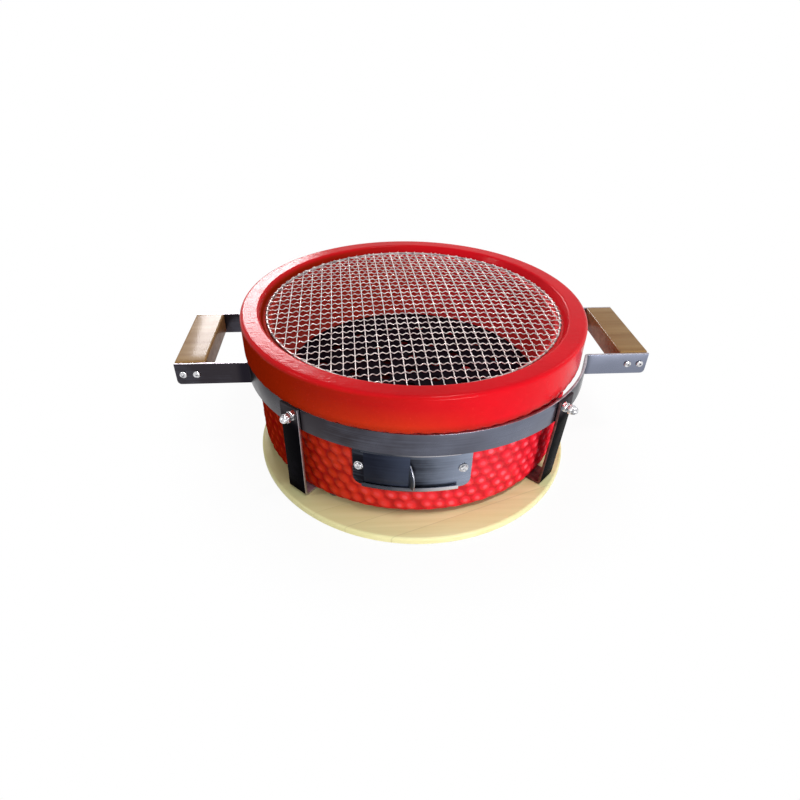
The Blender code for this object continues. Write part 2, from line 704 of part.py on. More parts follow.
def tab_outline():
    """Ear of the door in its own plane: it bulges outward and comes back to the door at the top."""
    reach, height = TAB_REACH, TAB_HEIGHT
    points = [(-TAB_ROOT, 0.0), (reach * 0.80, 0.0)]
    for i in range(1, 7):
        t = i / 7
        points.append((reach * (0.80 + 0.60 * t - 1.40 * t * t) * (1.0 + 0.25 * t), height * t))
    return points + [(-TAB_ROOT, height)]


def make_vent_door(mat):
    """Curved door in the rails, with a tab bent out at its right edge."""
    low = VENT_BOTTOM + SHEET + SEAT_GAP
    high = VENT_TOP - SHEET - SEAT_GAP
    door = swept("vent_door", [(DOOR_INNER, high), (DOOR_OUTER, high), (DOOR_OUTER, low),
                               (DOOR_INNER, low)], DOOR_FROM, DOOR_TO)
    a = math.radians(DOOR_TO)
    outward = Vector((math.cos(a), math.sin(a), 0.0))
    side = Vector((-math.sin(a), math.cos(a), 0.0))
    lean = math.radians(TAB_LEAN)
    reach_way = outward * math.cos(lean) + side * math.sin(lean)
    up = Vector((0.0, 0.0, 1.0))
    frame = Matrix((reach_way, up, reach_way.cross(up))).transposed().to_4x4()
    tab_bottom = VENT_BOTTOM + RAIL_LIP + TAB_ABOVE_LIP
    frame.translation = outward * (DOOR_OUTER - SHEET / 4) - side * TAB_ROOT + up * tab_bottom
    join(door, flat_shape("door_tab", [tab_outline()], SHEET, CUTTERS, frame))
    paint(door, mat)


def make_vent_bolts(mat):
    head = VENT_HEAD_RADIUS
    flange = VENT_FLANGE_RADIUS
    base = SEAT_GAP
    profile = [(0.0, VENT_HEAD_HEIGHT), (head * 0.7, VENT_HEAD_HEIGHT),
               (head, VENT_HEAD_HEIGHT * 0.8), (head, base + VENT_FLANGE),
               (flange, base + VENT_FLANGE), (flange, base), (VENT_BOLT_RADIUS, base),
               (VENT_BOLT_RADIUS, -VENT_BOLT_DEPTH), (0.0, -VENT_BOLT_DEPTH)]
    for i, angle in enumerate(VENT_BOLT_ANGLES):
        name = ("vent_bolt_left", "vent_bolt_right")[i]
        frame = radial_frame(angle, PLATE_OUTER, VENT_MIDDLE)
        if i == 0:
            first = turned(name, profile)
            first.matrix_world = frame
            paint(first, mat)
        else:
            shared_copy(first, name, frame)


def build():
    glaze = make_material("red_glaze", (0.62, 0.012, 0.018), 0.22, 0.0)
    wood = make_material("pale_wood", (0.66, 0.46, 0.26), 0.50, 0.0)
    steel = make_material("dark_steel", (0.22, 0.24, 0.27), 0.35, 1.0)
    bright = make_material("bright_steel", (0.75, 0.76, 0.78), 0.22, 1.0)
    wire = make_material("wire_steel", (0.66, 0.65, 0.62), 0.35, 1.0)
    iron = make_material("black_iron", (0.025, 0.022, 0.024), 0.60, 0.3)
    rubber = make_material("black_rubber", (0.02, 0.02, 0.02), 0.80, 0.0)
    make_board(wood)
    make_bowl(glaze)
    make_pads(rubber)
    make_charcoal_grate(iron)
    make_cooking_grid(wire)
    make_hoop("front_hoop", -1.0, (0, 1), steel)
    make_hoop("rear_hoop", 1.0, (2, 3), steel)
    make_handles(wood)
    make_handle_screws(bright)
    make_legs(steel, bright)
    make_vent_plate(steel)
    make_vent_door(steel)
    make_vent_bolts(bright)


build()
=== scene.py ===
"""Clay charcoal grill: a glazed clay bowl in a flat-bar steel carrier, on a round plank board.

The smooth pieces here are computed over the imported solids, in the same frame: metres, +Z up,
origin on the bowl's axis at the underside of the board, the air slide towards -Y.
Angles are in degrees, measured round Z from +X.
"""
from math import atan2, ceil, cos, degrees, floor, pi, radians, sin, sqrt

import bmesh
import bpy
import numpy as np
from mathutils import Matrix, Vector


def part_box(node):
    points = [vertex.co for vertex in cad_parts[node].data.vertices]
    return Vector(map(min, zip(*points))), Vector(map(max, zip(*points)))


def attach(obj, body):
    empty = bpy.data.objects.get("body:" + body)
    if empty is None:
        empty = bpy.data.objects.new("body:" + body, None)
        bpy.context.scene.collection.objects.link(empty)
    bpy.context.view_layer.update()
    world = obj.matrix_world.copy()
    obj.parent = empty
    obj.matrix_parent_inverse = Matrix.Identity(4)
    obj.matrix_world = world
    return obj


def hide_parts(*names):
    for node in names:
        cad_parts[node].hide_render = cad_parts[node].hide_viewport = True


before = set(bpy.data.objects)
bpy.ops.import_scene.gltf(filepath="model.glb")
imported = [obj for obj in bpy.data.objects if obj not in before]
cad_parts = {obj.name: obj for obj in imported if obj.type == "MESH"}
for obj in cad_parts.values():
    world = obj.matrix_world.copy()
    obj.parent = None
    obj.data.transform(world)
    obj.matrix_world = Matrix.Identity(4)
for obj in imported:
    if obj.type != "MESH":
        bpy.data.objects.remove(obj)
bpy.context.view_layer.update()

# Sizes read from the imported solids
board_low, board_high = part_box("serving_board")
bowl_low, bowl_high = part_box("clay_bowl")
hoop_low, hoop_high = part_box("front_hoop")
grate_low, grate_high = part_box("charcoal_grate")
plate_low, plate_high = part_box("vent_plate")

# Sizes that several pieces share
SEAT_GAP = 0.0003
BAR = 0.003  # flat bar of the frame
BAR_EDGE = 0.0004
SHEET = 0.0015  # sheet of the air slide
SHEET_EDGE = 0.0002

# Board, hoops and bowl
BOARD_TOP = board_high.z
BOARD_EDGE = 0.003
BOWL_UNDERSIDE = bowl_low.z
RIM_TOP = bowl_high.z
RIM_RADIUS = bowl_high.x
RIM_UNDERSIDE = hoop_high.z + SEAT_GAP
RIM_OVER_BODY = 0.0108
HOOP_INNER = RIM_RADIUS + 0.0022
HOOP_OUTER = HOOP_INNER + BAR
HOOP_SHIFT_X = 0.0049  # the hoops are wider than the bowl, which stands off their middles
HOOP_SHIFT_Y = 0.006
HOOP_MIDDLE = (hoop_low.z + hoop_high.z) / 2
HOOP_HEIGHT = hoop_high.z - hoop_low.z
BODY_RADIUS = RIM_RADIUS - RIM_OVER_BODY
BODY_TAPER = 0.0005
BODY_EDGE = 0.006
RIM_WIDTH = 0.0216
MOUTH_RADIUS = RIM_RADIUS - RIM_WIDTH
WELL_RADIUS = MOUTH_RADIUS - 0.0035
GRID_LEDGE = RIM_TOP - 0.0106
GRATE_LEDGE = grate_low.z - SEAT_GAP
GRATE_RADIUS = grate_high.x
GRATE_RINGS = ((0.0, 1, 0.0), (0.036, 6, 22.6), (0.072, 12, 3.0), (0.115, 16, 11.6))
GRATE_HOLE = 0.0065
GRATE_EDGE = 0.0005
PAD_EDGE = 0.0005
FIRE_RADIUS = GRATE_RADIUS + 0.002
FIRE_TOP_RADIUS = WELL_RADIUS - 0.01
ASH_RADIUS = GRATE_RADIUS - 0.0087
FLOOR = BOWL_UNDERSIDE + 0.0144
BOWL_STEPS = 720
BOWL_SHARP = 50.0

# Bumps pressed into the bowl's lower wall
BUMPS_ROUND = 80
BUMP_ROW = 0.0122
BUMP_DEPTH = 0.0022
BUMP_REACH = 0.0082
BUMP_MELT = 6.0  # higher values leave sharper valleys between the bumps
BUMP_WANDER = 0.0017
BUMP_SIZES = (0.88, 1.12)
BUMP_SLANT = 0.25
BUMPS_END = RIM_UNDERSIDE + 0.005
BUMPS_FADE = 0.004

# Air slide
PLATE_INNER = BODY_RADIUS + SEAT_GAP
PLATE_OUTER = PLATE_INNER + SHEET
DOOR_INNER = PLATE_OUTER + SEAT_GAP
DOOR_OUTER = DOOR_INNER + SHEET
LIP_INNER = DOOR_OUTER + SEAT_GAP
LIP_OUTER = LIP_INNER + SHEET
VENT_LOW = plate_low.z
VENT_HIGH = plate_high.z
VENT_MIDDLE = (VENT_LOW + VENT_HIGH) / 2
PLATE_FROM, PLATE_TO = -113.4, -76.2
RAIL_FROM, RAIL_TO = -110.2, -80.5
DOOR_FROM, DOOR_TO = -109.6, -95.5
PLATE_CORNER = 0.009
RAIL_LIP = 0.005
RAIL_BEND = 0.0012
PORT_ANGLE = -102.5
PORT_WIDTH, PORT_HEIGHT, PORT_CORNER = 0.038, 0.032, 0.005
PORT_MIDDLE = VENT_MIDDLE - 0.001
TAB_LEAN = 38.0
TAB_REACH = 0.0095
TAB_HEIGHT = 0.031
TAB_EDGE = 0.0003
VENT_BOLT_ANGLES = (-111.3, -79.0)
VENT_BOLT_HEAD, VENT_BOLT_FLANGE, VENT_BOLT_TOP = 0.0042, 0.0051, 0.003
VENT_BOLT_SHANK, VENT_BOLT_LENGTH, VENT_BOLT_HOLE = 0.0025, 0.015, 0.0028
SLICE = 0.002  # width of the strips that a sheet is bent in
SWEEP_STEP = 0.4

# Legs, handles and their hardware
ARM_FACE = -hoop_high.y + BAR
ARM_ENDS = {-1.0: -hoop_low.x, 1.0: hoop_high.x}
ARM_BEND = 0.003
ARM_CORNER = 0.0045  # round the lower corner of each arm's end
LEG_ANGLES = (-133.4, -46.5, 46.5, 133.4)
LEG_LEANS = (0.0, 0.0045, 0.0045, 0.0)
LEG_WIDTH = 0.0258
LEG_INNER = HOOP_OUTER + SEAT_GAP
LEG_OUTER = LEG_INNER + BAR
LEG_BEND = 0.0045
LEG_KINK = hoop_low.z - 0.002  # a leaning leg starts to lean here
FOOT_LENGTH = 0.06
FOOT_UNDERSIDE = BOARD_TOP + SEAT_GAP
LEG_BOLT_HEIGHT = hoop_high.z - 0.006
LEG_BOLT_ASIDE = 0.0078
LEG_BOLT_SIDES = (1.0, -1.0, 1.0, -1.0)
LEG_HEAD, LEG_HEAD_HEIGHT, LEG_SHANK = 0.0055, 0.003, 0.0029
LEG_HEAD_SEAT = 0.0008
LEG_SHANK_PAST_CAP = 0.0035
THREAD_DEPTH, THREAD_PITCH = 0.0002, 0.001
NUT_WIDTH, NUT_HEIGHT, NUT_BORE = 0.01, 0.005, 0.003
CAP_STANDOFF, CAP_BODY, CAP_DOME_RADIUS, CAP_DOME_HEIGHT = 0.0018, 0.0045, 0.0046, 0.0052
HANDLE_EDGE = 0.0025
SCREWS_FROM_END = (0.023, 0.0085)
SCREW_HEAD, SCREW_HEAD_HEIGHT, SCREW_SHANK = 0.0042, 0.0024, 0.002
SCREW_LENGTH, SCREW_SOCKET = 0.011, 0.00125

# Woven grid: for each way its wires run, pitch, shift, turn and bend (see mesh_phase)
MESH_DEEP = (0.011812, -0.00082, 1.48, (0.1189, 0.0143, 0.0404))
MESH_ACROSS = (0.011133, 0.00294, 1.07, (0.184, 0.0913, 0.209))
MESH_WIRE = 0.00053  # radius of a wire
MESH_CRIMP = 0.00092  # how far a wire rises and falls from the middle
MESH_END = 0.004  # last stretch of a wire, where it leaves the weave for the ring
MESH_FADE = 0.006  # stretch before that, in which the crimp dies away
MESH_STEP = 0.0011
MESH_SIDES = 8
GRID_RING = 0.1706
RING_WIRE = 0.0011
HOOK = RING_WIRE + MESH_WIRE + 0.00005
GRID_MIDDLE = GRID_LEDGE + HOOK + MESH_WIRE + 0.0001
GRID_DOME = RIM_TOP - GRID_MIDDLE - MESH_CRIMP - MESH_WIRE - 0.0001

UP = Vector((0.0, 0.0, 1.0))


# Meshes from whole arrays

def smooth_shaded(mesh, sharp=35.0):
    """Smooth shading, apart from the edges that turn by more than sharp degrees."""
    mesh.shade_smooth()
    mesh.set_sharp_from_angle(angle=radians(sharp))
    return mesh


def make_mesh(name, points, face_arrays, sharp=35.0):
    """Mesh from an (n, 3) array of points and arrays of faces; its volume is made positive."""
    counts = np.concatenate([np.full(len(f), f.shape[1]) for f in face_arrays])
    corners = np.concatenate([f.ravel() for f in face_arrays])
    mesh = bpy.data.meshes.new(name)
    mesh.vertices.add(len(points))
    mesh.vertices.foreach_set("co", np.asarray(points, np.float32).ravel())
    mesh.loops.add(len(corners))
    mesh.loops.foreach_set("vertex_index", corners.astype(np.int32))
    mesh.polygons.add(len(counts))
    starts = np.concatenate(([0], np.cumsum(counts)[:-1]))
    mesh.polygons.foreach_set("loop_start", starts.astype(np.int32))
    mesh.update(calc_edges=True)
    mesh.validate()
    if signed_volume(points, face_arrays) < 0.0:
        mesh.flip_normals()
    return smooth_shaded(mesh, sharp)


def signed_volume(points, face_arrays):
    """Sum over the triangles of a fan in each face of a . (b x c) / 6."""
    total = 0.0
    for faces in face_arrays:
        a = points[faces[:, 0]]
        for k in range(1, faces.shape[1] - 1):
            b, c = points[faces[:, k]], points[faces[:, k + 1]]
            total += float(np.einsum("ij,ij->", a, np.cross(b, c))) / 6.0
    return total


def grid_faces(rows, columns, wrap_rows, wrap_columns, first=0):
    """Quads between neighbouring rows and columns; wrapping joins the last one to the first."""
    r = np.arange(rows if wrap_rows else rows - 1)
    c = np.arange(columns if wrap_columns else columns - 1)
    rr, cc = np.meshgrid(r, c, indexing="ij")
    rn, cn = (rr + 1) % rows, (cc + 1) % columns
    quads = np.stack((rr * columns + cc, rr * columns + cn, rn * columns + cn, rn * columns + cc), -1)
    return quads.reshape(-1, 4) + first


def tube_faces(rows, columns, first=0):
    """Faces round a tube of closed rows, and the one that shuts each end."""
    around = np.arange(columns)[None]
    return [grid_faces(rows, columns, False, True, first), around[:, ::-1] + first,
            around + first + (rows - 1) * columns]


def full_turn(steps):
    """Angles of equal steps right round, in radians."""
    return np.arange(steps) * 2 * np.pi / steps


def turned_points(rows, steps):
    """Point (r cos a, r sin a, z) for each (r, z) row and each angle a; r may differ with a."""
    angles = full_turn(steps)
    radii = np.array([np.broadcast_to(r, steps) for r, z in rows])
    heights = np.array([np.broadcast_to(z, steps) for r, z in rows])
    return np.stack((radii * np.cos(angles), radii * np.sin(angles), heights), -1)


def turned_mesh(name, rows, steps, sharp=35.0):
    """Surface of revolution. The first and last rows lie on the axis and become single points."""
    turned = turned_points(rows, steps)
    body = turned[1:-1]
    ends = [[0, 0, turned[0, 0, 2]], [0, 0, turned[-1, 0, 2]]]
    points = np.concatenate((body.reshape(-1, 3), ends))
    around = np.arange(steps)
    after = (around + 1) % steps
    last = (len(body) - 1) * steps
    first_fan = np.stack((np.full(steps, len(points) - 2), after, around), -1)
    last_fan = np.stack((np.full(steps, len(points) - 1), last + around, last + after), -1)
    sides = grid_faces(len(body), steps, False, True)
    return make_mesh(name, points, [sides, first_fan, last_fan], sharp)


def ring_mesh(name, rows, steps, sharp=35.0):
    """Closed ring: a closed outline of (r, z) rows turned right round Z."""
    points = turned_points(rows, steps).reshape(-1, 3)
    return make_mesh(name, points, [grid_faces(len(rows), steps, True, True)], sharp)


def swept_mesh(name, section, centres, sides, ups):
    """Bar along an open path, closed by a flat face at each end.

    Its points are centre + u * side + v * up for each path point and each (u, v) of the closed
    section. Section, side and up are the same all along, or there is one for each path point."""
    section = np.asarray(section, float)
    sides, ups = (np.broadcast_to(way, centres.shape)[:, None] for way in (sides, ups))
    points = centres[:, None] + section[..., :1] * sides + section[..., 1:] * ups
    return make_mesh(name, points.reshape(-1, 3), tube_faces(*points.shape[:2]))


def arc(cx, cy, radius, start, end, steps):
    """(steps + 1) points on an arc."""
    a = np.radians(np.linspace(start, end, steps + 1))
    return np.stack((cx + radius * np.cos(a), cy + radius * np.sin(a)), -1)


def circle(cx, cy, radius, steps):
    return arc(cx, cy, radius, 0, 360, steps)[:-1]


def line(a, b, steps):
    """Points from a up to, but not at, b."""
    t = np.arange(steps)[:, None] / steps
    return np.asarray(a) * (1 - t) + np.asarray(b) * t


def rounded_rectangle(width, height, corner, steps=4):
    x, y = width / 2 - corner, height / 2 - corner
    return np.concatenate([arc(cx, cy, corner, s, s + 90, steps) for cx, cy, s in
                           ((x, y, 0), (-x, y, 90), (-x, -y, 180), (x, -y, 270))])


def directions(path):
    """Unit vectors along a path of points in a plane."""
    step = np.gradient(path, axis=0)
    return step / np.linalg.norm(step, axis=1)[:, None]


def outward(angle):
    """Level direction from Z at an angle."""
    return Vector((cos(radians(angle)), sin(radians(angle)), 0.0))


def axes_matrix(x, y, z, origin):
    """Matrix that puts the local axes and the local origin there."""
    matrix = Matrix((x, y, z)).transposed().to_4x4()
    matrix.translation = origin
    return matrix


def radial_matrix(angle, radius, height):
    """Local Z points out from the bowl's axis, local Y up, local X to the side."""
    out = outward(angle)
    return axes_matrix(UP.cross(out), UP, out, out * radius + UP * height)


def hoop_matrix(angle, radius, height, aside=0.0):
    """Like radial_matrix, but round the middle of the hoop on that side, and moved aside."""
    matrix = radial_matrix(angle, radius, height)
    middle = Vector((HOOP_SHIFT_X, HOOP_SHIFT_Y if angle < 0 else -HOOP_SHIFT_Y, 0.0))
    matrix.translation += middle + matrix.col[0].xyz * aside
    return matrix


def place(mesh, matrix):
    mesh.transform(matrix)
    return mesh


def new_object(name, data):
    obj = bpy.data.objects.new(name, data)
    bpy.context.scene.collection.objects.link(obj)
    return obj


def add_piece(name, mesh, material, body, slot, *nodes):
    """Show a finished mesh, riding on its body, in place of the solids that it stands for."""
    obj = new_object(name, mesh)
    mesh.materials.clear()
    mesh.materials.append(material)
    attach(obj, body)
    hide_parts(*nodes)
    return obj


def applied(obj):
    """The object's mesh with its modifiers or curve settings applied; the object goes."""
    bpy.context.view_layer.update()
    graph = bpy.context.evaluated_depsgraph_get()
    mesh = bpy.data.meshes.new_from_object(obj.evaluated_get(graph))
    bpy.data.objects.remove(obj, do_unlink=True)
    return mesh


def flat_sheet(name, outlines, thickness, edge):
    """Flat outlines, the first one outside and the rest holes, filled and given thickness."""
    curve = bpy.data.curves.new(name, "CURVE")
    curve.dimensions = "2D"
    curve.fill_mode = "BOTH"
    curve.extrude = thickness / 2 - edge
    curve.bevel_depth = edge
    curve.bevel_resolution = 1
    curve.offset = -edge
    for outline in outlines:
        spline = curve.splines.new("POLY")
        spline.points.add(len(outline) - 1)
        flat = np.zeros((len(outline), 4), np.float32)
        flat[:, :2] = outline
        flat[:, 3] = 1.0
        spline.points.foreach_set("co", flat.ravel())
        spline.use_cyclic_u = True
    mesh = applied(new_object(name, curve))
    bm = bmesh.new()
    bm.from_mesh(mesh)
    bmesh.ops.remove_doubles(bm, verts=bm.verts, dist=1e-6)
    bmesh.ops.recalc_face_normals(bm, faces=bm.faces)
    bm.to_mesh(mesh)
    bm.free()
    return smooth_shaded(mesh)


def wrapped_sheet(name, outlines, thickness, edge, radius, middle, height):
    """A flat sheet bent round the bowl: x becomes an arc length, y the height, z the radius."""
    mesh = flat_sheet(name, outlines, thickness, edge)
    bm = bmesh.new()
    bm.from_mesh(mesh)
    xs = [v.co.x for v in bm.verts]
    for x in np.arange(min(xs) + SLICE, max(xs), SLICE):
        geometry = list(bm.verts) + list(bm.edges) + list(bm.faces)
        bmesh.ops.bisect_plane(bm, geom=geometry, dist=1e-7, plane_co=(x, 0, 0), plane_no=(1, 0, 0))
    bm.to_mesh(mesh)
    bm.free()
    points = np.zeros(len(mesh.vertices) * 3, np.float32)
    mesh.vertices.foreach_get("co", points)
    x, y, z = points.reshape(-1, 3).T
    a = radians(middle) + x / radius
    reach = radius + z
    bent = np.stack((reach * np.cos(a), reach * np.sin(a), y + height), -1)
    mesh.vertices.foreach_set("co", bent.astype(np.float32).ravel())
    mesh.update()
    return smooth_shaded(mesh)


# Materials

class Nodes:
    """Node tree of a new material, or of the world, with a short method for each kind of node."""

    def __init__(self, owner):
        owner.use_nodes = True
        self.owner = owner
        self.tree = owner.node_tree
        self.shader = self.tree.nodes.get("Principled BSDF") or self.tree.nodes["Background"]

    def feed(self, socket, value):
        """Link an output to a socket, or set the socket's own value."""
        if hasattr(value, "is_linked"):
            self.tree.links.new(value, socket)
        else:
            socket.default_value = (*value, 1.0) if socket.type == "RGBA" else value

    def node(self, kind, values=None, **settings):
        """A new node; values holds what goes to its inputs."""
        made = self.tree.nodes.new("ShaderNode" + kind)
        for key, value in settings.items():
            setattr(made, key, value)
        for key, value in (values or {}).items():
            self.feed(made.inputs[key], value)
        return made

    def set(self, name, value):
        self.feed(self.shader.inputs[name], value)

    def point(self, scale=(1.0, 1.0, 1.0), turn=0.0):
        """Object coordinates in metres, turned round Z and stretched."""
        at = self.node("TexCoord").outputs["Object"]
        made = self.node("Mapping", {"Vector": at, "Rotation": (0.0, 0.0, turn), "Scale": scale})
        return made.outputs["Vector"]

    def split(self, vector):
        """The parts of a vector along X, Y and Z."""
        return tuple(self.node("SeparateXYZ", {"Vector": vector}).outputs)

    def length(self, vector):
        return self.node("VectorMath", {0: vector}, operation="LENGTH").outputs["Value"]

    def noise(self, vector, scale, detail=3.0, roughness=0.5):
        return self.node("TexNoise", {"Vector": vector, "Scale": scale, "Detail": detail,
                                      "Roughness": roughness}).outputs["Fac"]

    def math(self, operation, *values):
        return self.node("Math", dict(enumerate(values)), operation=operation).outputs[0]

    def plus(self, a, b):
        return self.math("ADD", a, b)

    def minus(self, a, b):
        return self.math("SUBTRACT", a, b)

    def times(self, a, b):
        return self.math("MULTIPLY", a, b)

    def larger(self, a, b):
        return self.math("MAXIMUM", a, b)

    def spread(self, value, low, high, to_low=0.0, to_high=1.0, way="LINEAR"):
        """The stretch from low to high, carried over to the one from to_low to to_high."""
        made = self.node("MapRange", {"Value": value, "From Min": low, "From Max": high,
                                      "To Min": to_low, "To Max": to_high}, interpolation_type=way)
        return made.outputs["Result"]

    def ease(self, value, low, high, to_low=0.0, to_high=1.0):
        """Like spread, with a soft start and end."""
        return self.spread(value, low, high, to_low, to_high, "SMOOTHSTEP")

    def mix(self, share, a, b):
        """Colour a, with a share of colour b."""
        return self.node("Mix", {0: share, 6: a, 7: b}, data_type="RGBA").outputs[2]

    def bump(self, height, strength, distance):
        made = self.node("Bump", {"Height": height, "Strength": strength, "Distance": distance})
        self.set("Normal", made.outputs["Normal"])


def new_material(name):
    return Nodes(bpy.data.materials.new(name))


def glaze_material():
    """Red glaze with faint pooling and brush marks, and painted light and shade.

    Painted shade turns it brown on the left, painted warm light turns it more orange between, the
    rim's top is painted lighter, and the rim's outer face is painted darker just above its underside.
    On the lower wall, by the distance from Z, the bumps are paler on their summits, partly as the glaze
    breaks there and partly as a painted highlight that is pinker on the lit right; between them it is
    darker, partly as the glaze pools and partly as painted shade, more so on the left. That wall is
    also painted lighter towards the right, and is duller towards the left and the far right."""
    m = new_material("red_glaze")
    point = m.point()
    x, y, z = m.split(point)
    away = m.length(m.node("CombineXYZ", {"X": x, "Y": y}).outputs[0])
    away = m.plus(away, m.spread(z, BOWL_UNDERSIDE + BODY_EDGE, hoop_low.z, BODY_TAPER, 0))

    # Painted shade: dark brown on the left, bright red towards the right; the rim's top is painted bright
    # red too.
    side = m.ease(x, -0.17, 0.08)
    top = m.spread(z, RIM_TOP - 0.006, RIM_TOP - 0.001)
    red = m.larger(side, m.times(top, 0.8))
    base = m.mix(red, (0.23, 0.013, 0.001), (0.68, 0.005, 0.013))
    # Painted warm light: more orange on the rim's outer face, between the dark left and the bright right.
    between = m.times(side, m.minus(1, side))
    low = m.spread(z, RIM_UNDERSIDE + 0.008, RIM_TOP - 0.012, 1.9, 0)
    base = m.mix(m.times(between, low), base, (0.58, 0.05, 0.005))
    cloud = m.spread(m.noise(point, 22, 4), 0.3, 0.7, 0, 0.22)
    base = m.mix(cloud, base, (0.3, 0.003, 0.004))
    speck = m.spread(m.noise(point, 420, 2), 0.66, 0.76, 0, 0.15)
    base = m.mix(speck, base, (0.85, 0.06, 0.05))
    # Painted shade on the rim's outer face, darker just above its underside, where it curves under.
    brow_shade = m.times(m.spread(away, BODY_RADIUS, BODY_RADIUS + 0.002),
                   m.ease(z, RIM_UNDERSIDE + 0.001, RIM_UNDERSIDE + 0.011, 0.6, 0))
    base = m.mix(brow_shade, base, (0.2, 0.011, 0.001))
    inside = m.times(m.spread(away, WELL_RADIUS, WELL_RADIUS + 0.004, 0.32, 0),
                     m.spread(z, GRID_LEDGE - 0.001, GRID_LEDGE + 0.003, 1, 0))
    base = m.mix(inside, base, (0.9, 0.13, 0.12))

    wall = m.spread(z, RIM_UNDERSIDE - 0.002, RIM_UNDERSIDE + 0.002, 1, 0)
    lower = m.times(wall, m.spread(away, BODY_RADIUS - 0.006, BODY_RADIUS - 0.005))
    # Painted light: the lower wall is lighter red towards the lit right.
    pale = m.spread(side, 0.2, 1)
    base = m.mix(m.times(lower, pale), base, (0.8, 0.018, 0.034))
    # Darker between the bumps: partly glaze pooling, partly painted shade, stronger on the shaded left.
    pool_and_shade = m.ease(away, BODY_RADIUS - 0.85 * BUMP_DEPTH, BODY_RADIUS - 0.22 * BUMP_DEPTH, 0.75, 0)
    pool_and_shade = m.times(pool_and_shade, m.spread(pale, 0, 1, 1, 0.6))
    base = m.mix(m.times(lower, pool_and_shade), base, (0.22, 0.001, 0.003))
    # Paler summits of the bumps: partly the glaze breaking, partly a painted highlight, pinker on the lit
    # right.
    crest_and_highlight = m.ease(away, BODY_RADIUS - 0.24 * BUMP_DEPTH, BODY_RADIUS - 0.03 * BUMP_DEPTH, 0, 0.6)
    crest_and_highlight = m.times(crest_and_highlight, m.spread(m.noise(point, 75, 2), 0.35, 0.65, 0.2, 1))
    tops = m.mix(pale, (0.56, 0.035, 0.018), (1.0, 0.2, 0.26))
    m.set("Base Color", m.mix(m.times(lower, crest_and_highlight), base, tops))

    rough = m.spread(m.noise(point, 60, 3), 0.3, 0.7, 0.13, 0.22)
    m.set("Roughness", m.plus(rough, m.times(lower, 0.12)))
    left = m.spread(side, 0.05, 0.75)
    right = m.spread(x, 0.06, 0.12, 1, 0)
    clean = m.times(left, m.larger(right, m.minus(1, wall)))
    shine = m.spread(wall, 0, 1, 0.056, 0.14)
    m.set("Specular IOR Level", m.times(shine, m.larger(clean, top)))
    brush = m.noise(m.point((70.0, 330.0, 330.0), 0.6), 1.0, 3.0)
    m.bump(m.plus(m.noise(point, 260, 2), brush), 0.45, 0.0005)
    return m.owner


def steel_material(name, dark, light, stretch, across, dark_band=None):
    """Rolled steel with fine streaks and cloudy tarnish, and a painted reflection: dark on the left,
    light on the right.

    across holds the two places on X between which the painted reflection goes from dark to light;
    the last argument, when given, holds four distances from the middle: darker from the first two to
    the last two."""
    m = new_material(name)
    m.set("Metallic", 1)
    point = m.point()
    streak, cloud = m.noise(m.point(stretch), 1, 4, 0.6), m.noise(point, 28, 3)
    x = m.split(point)[0]
    # Painted reflection: the colour goes from dark on the left to light on the right.
    tone = m.ease(x, *across)
    for pattern, weight in ((streak, 0.45), (cloud, 0.6)):
        tone = m.math("MULTIPLY_ADD", m.minus(pattern, 0.5), weight, tone)
    colour = m.mix(m.spread(tone, 0, 1), dark, light)
    # Darker along a band of distance from the middle on X.
    if dark_band:
        off = m.math("ABSOLUTE", x)
        share = m.times(m.ease(off, *dark_band[:2], 0, 0.85), m.ease(off, *dark_band[2:], 1, 0))
        colour = m.mix(share, colour, (0.012, 0.01, 0.016))
    m.set("Base Color", colour)
    m.set("Roughness", m.spread(cloud, 0.35, 0.65, 0.36, 0.24))
    m.bump(streak, 0.05, 0.0001)
    return m.owner


def wire_material(name, dark, light, roughness, patches=160.0):
    """Bare steel with small darker patches at random; on the bright fasteners they are painted dark
    reflections.
    """
    m = new_material(name)
    m.set("Metallic", 1)
    point = m.point()
    patch = m.noise(point, patches, 3)
    m.set("Base Color", m.mix(m.spread(patch, 0.35, 0.65), dark, light))
    m.set("Roughness", m.spread(patch, 0.3, 0.7, roughness + 0.1, roughness))
    m.bump(m.noise(point, 900, 2), 0.15, 0.0001)
    return m.owner


def black_material(name, dark, worn, roughness, gloss, grain, upper=None):
    """Black iron with a fine grain and a few paler worn spots; upper, when given, is a painted highlight
    colour beside the hoops.
    """
    m = new_material(name)
    point = m.point()
    colour = m.mix(m.spread(m.noise(point, 40, 5), 0.55, 0.72), dark, worn)
    # Painted highlight: lighter towards the hoops when upper is given.
    if upper:
        share = m.ease(m.split(point)[2], hoop_low.z + 0.004, hoop_high.z - 0.006)
        colour = m.mix(share, colour, upper)
    m.set("Base Color", colour)
    m.set("Roughness", m.spread(m.noise(point, 90, 3), 0.3, 0.7, roughness, roughness + 0.15))
    m.set("Specular IOR Level", gloss)
    m.bump(m.noise(point, 700, 3), grain, 0.0004)
    return m.owner


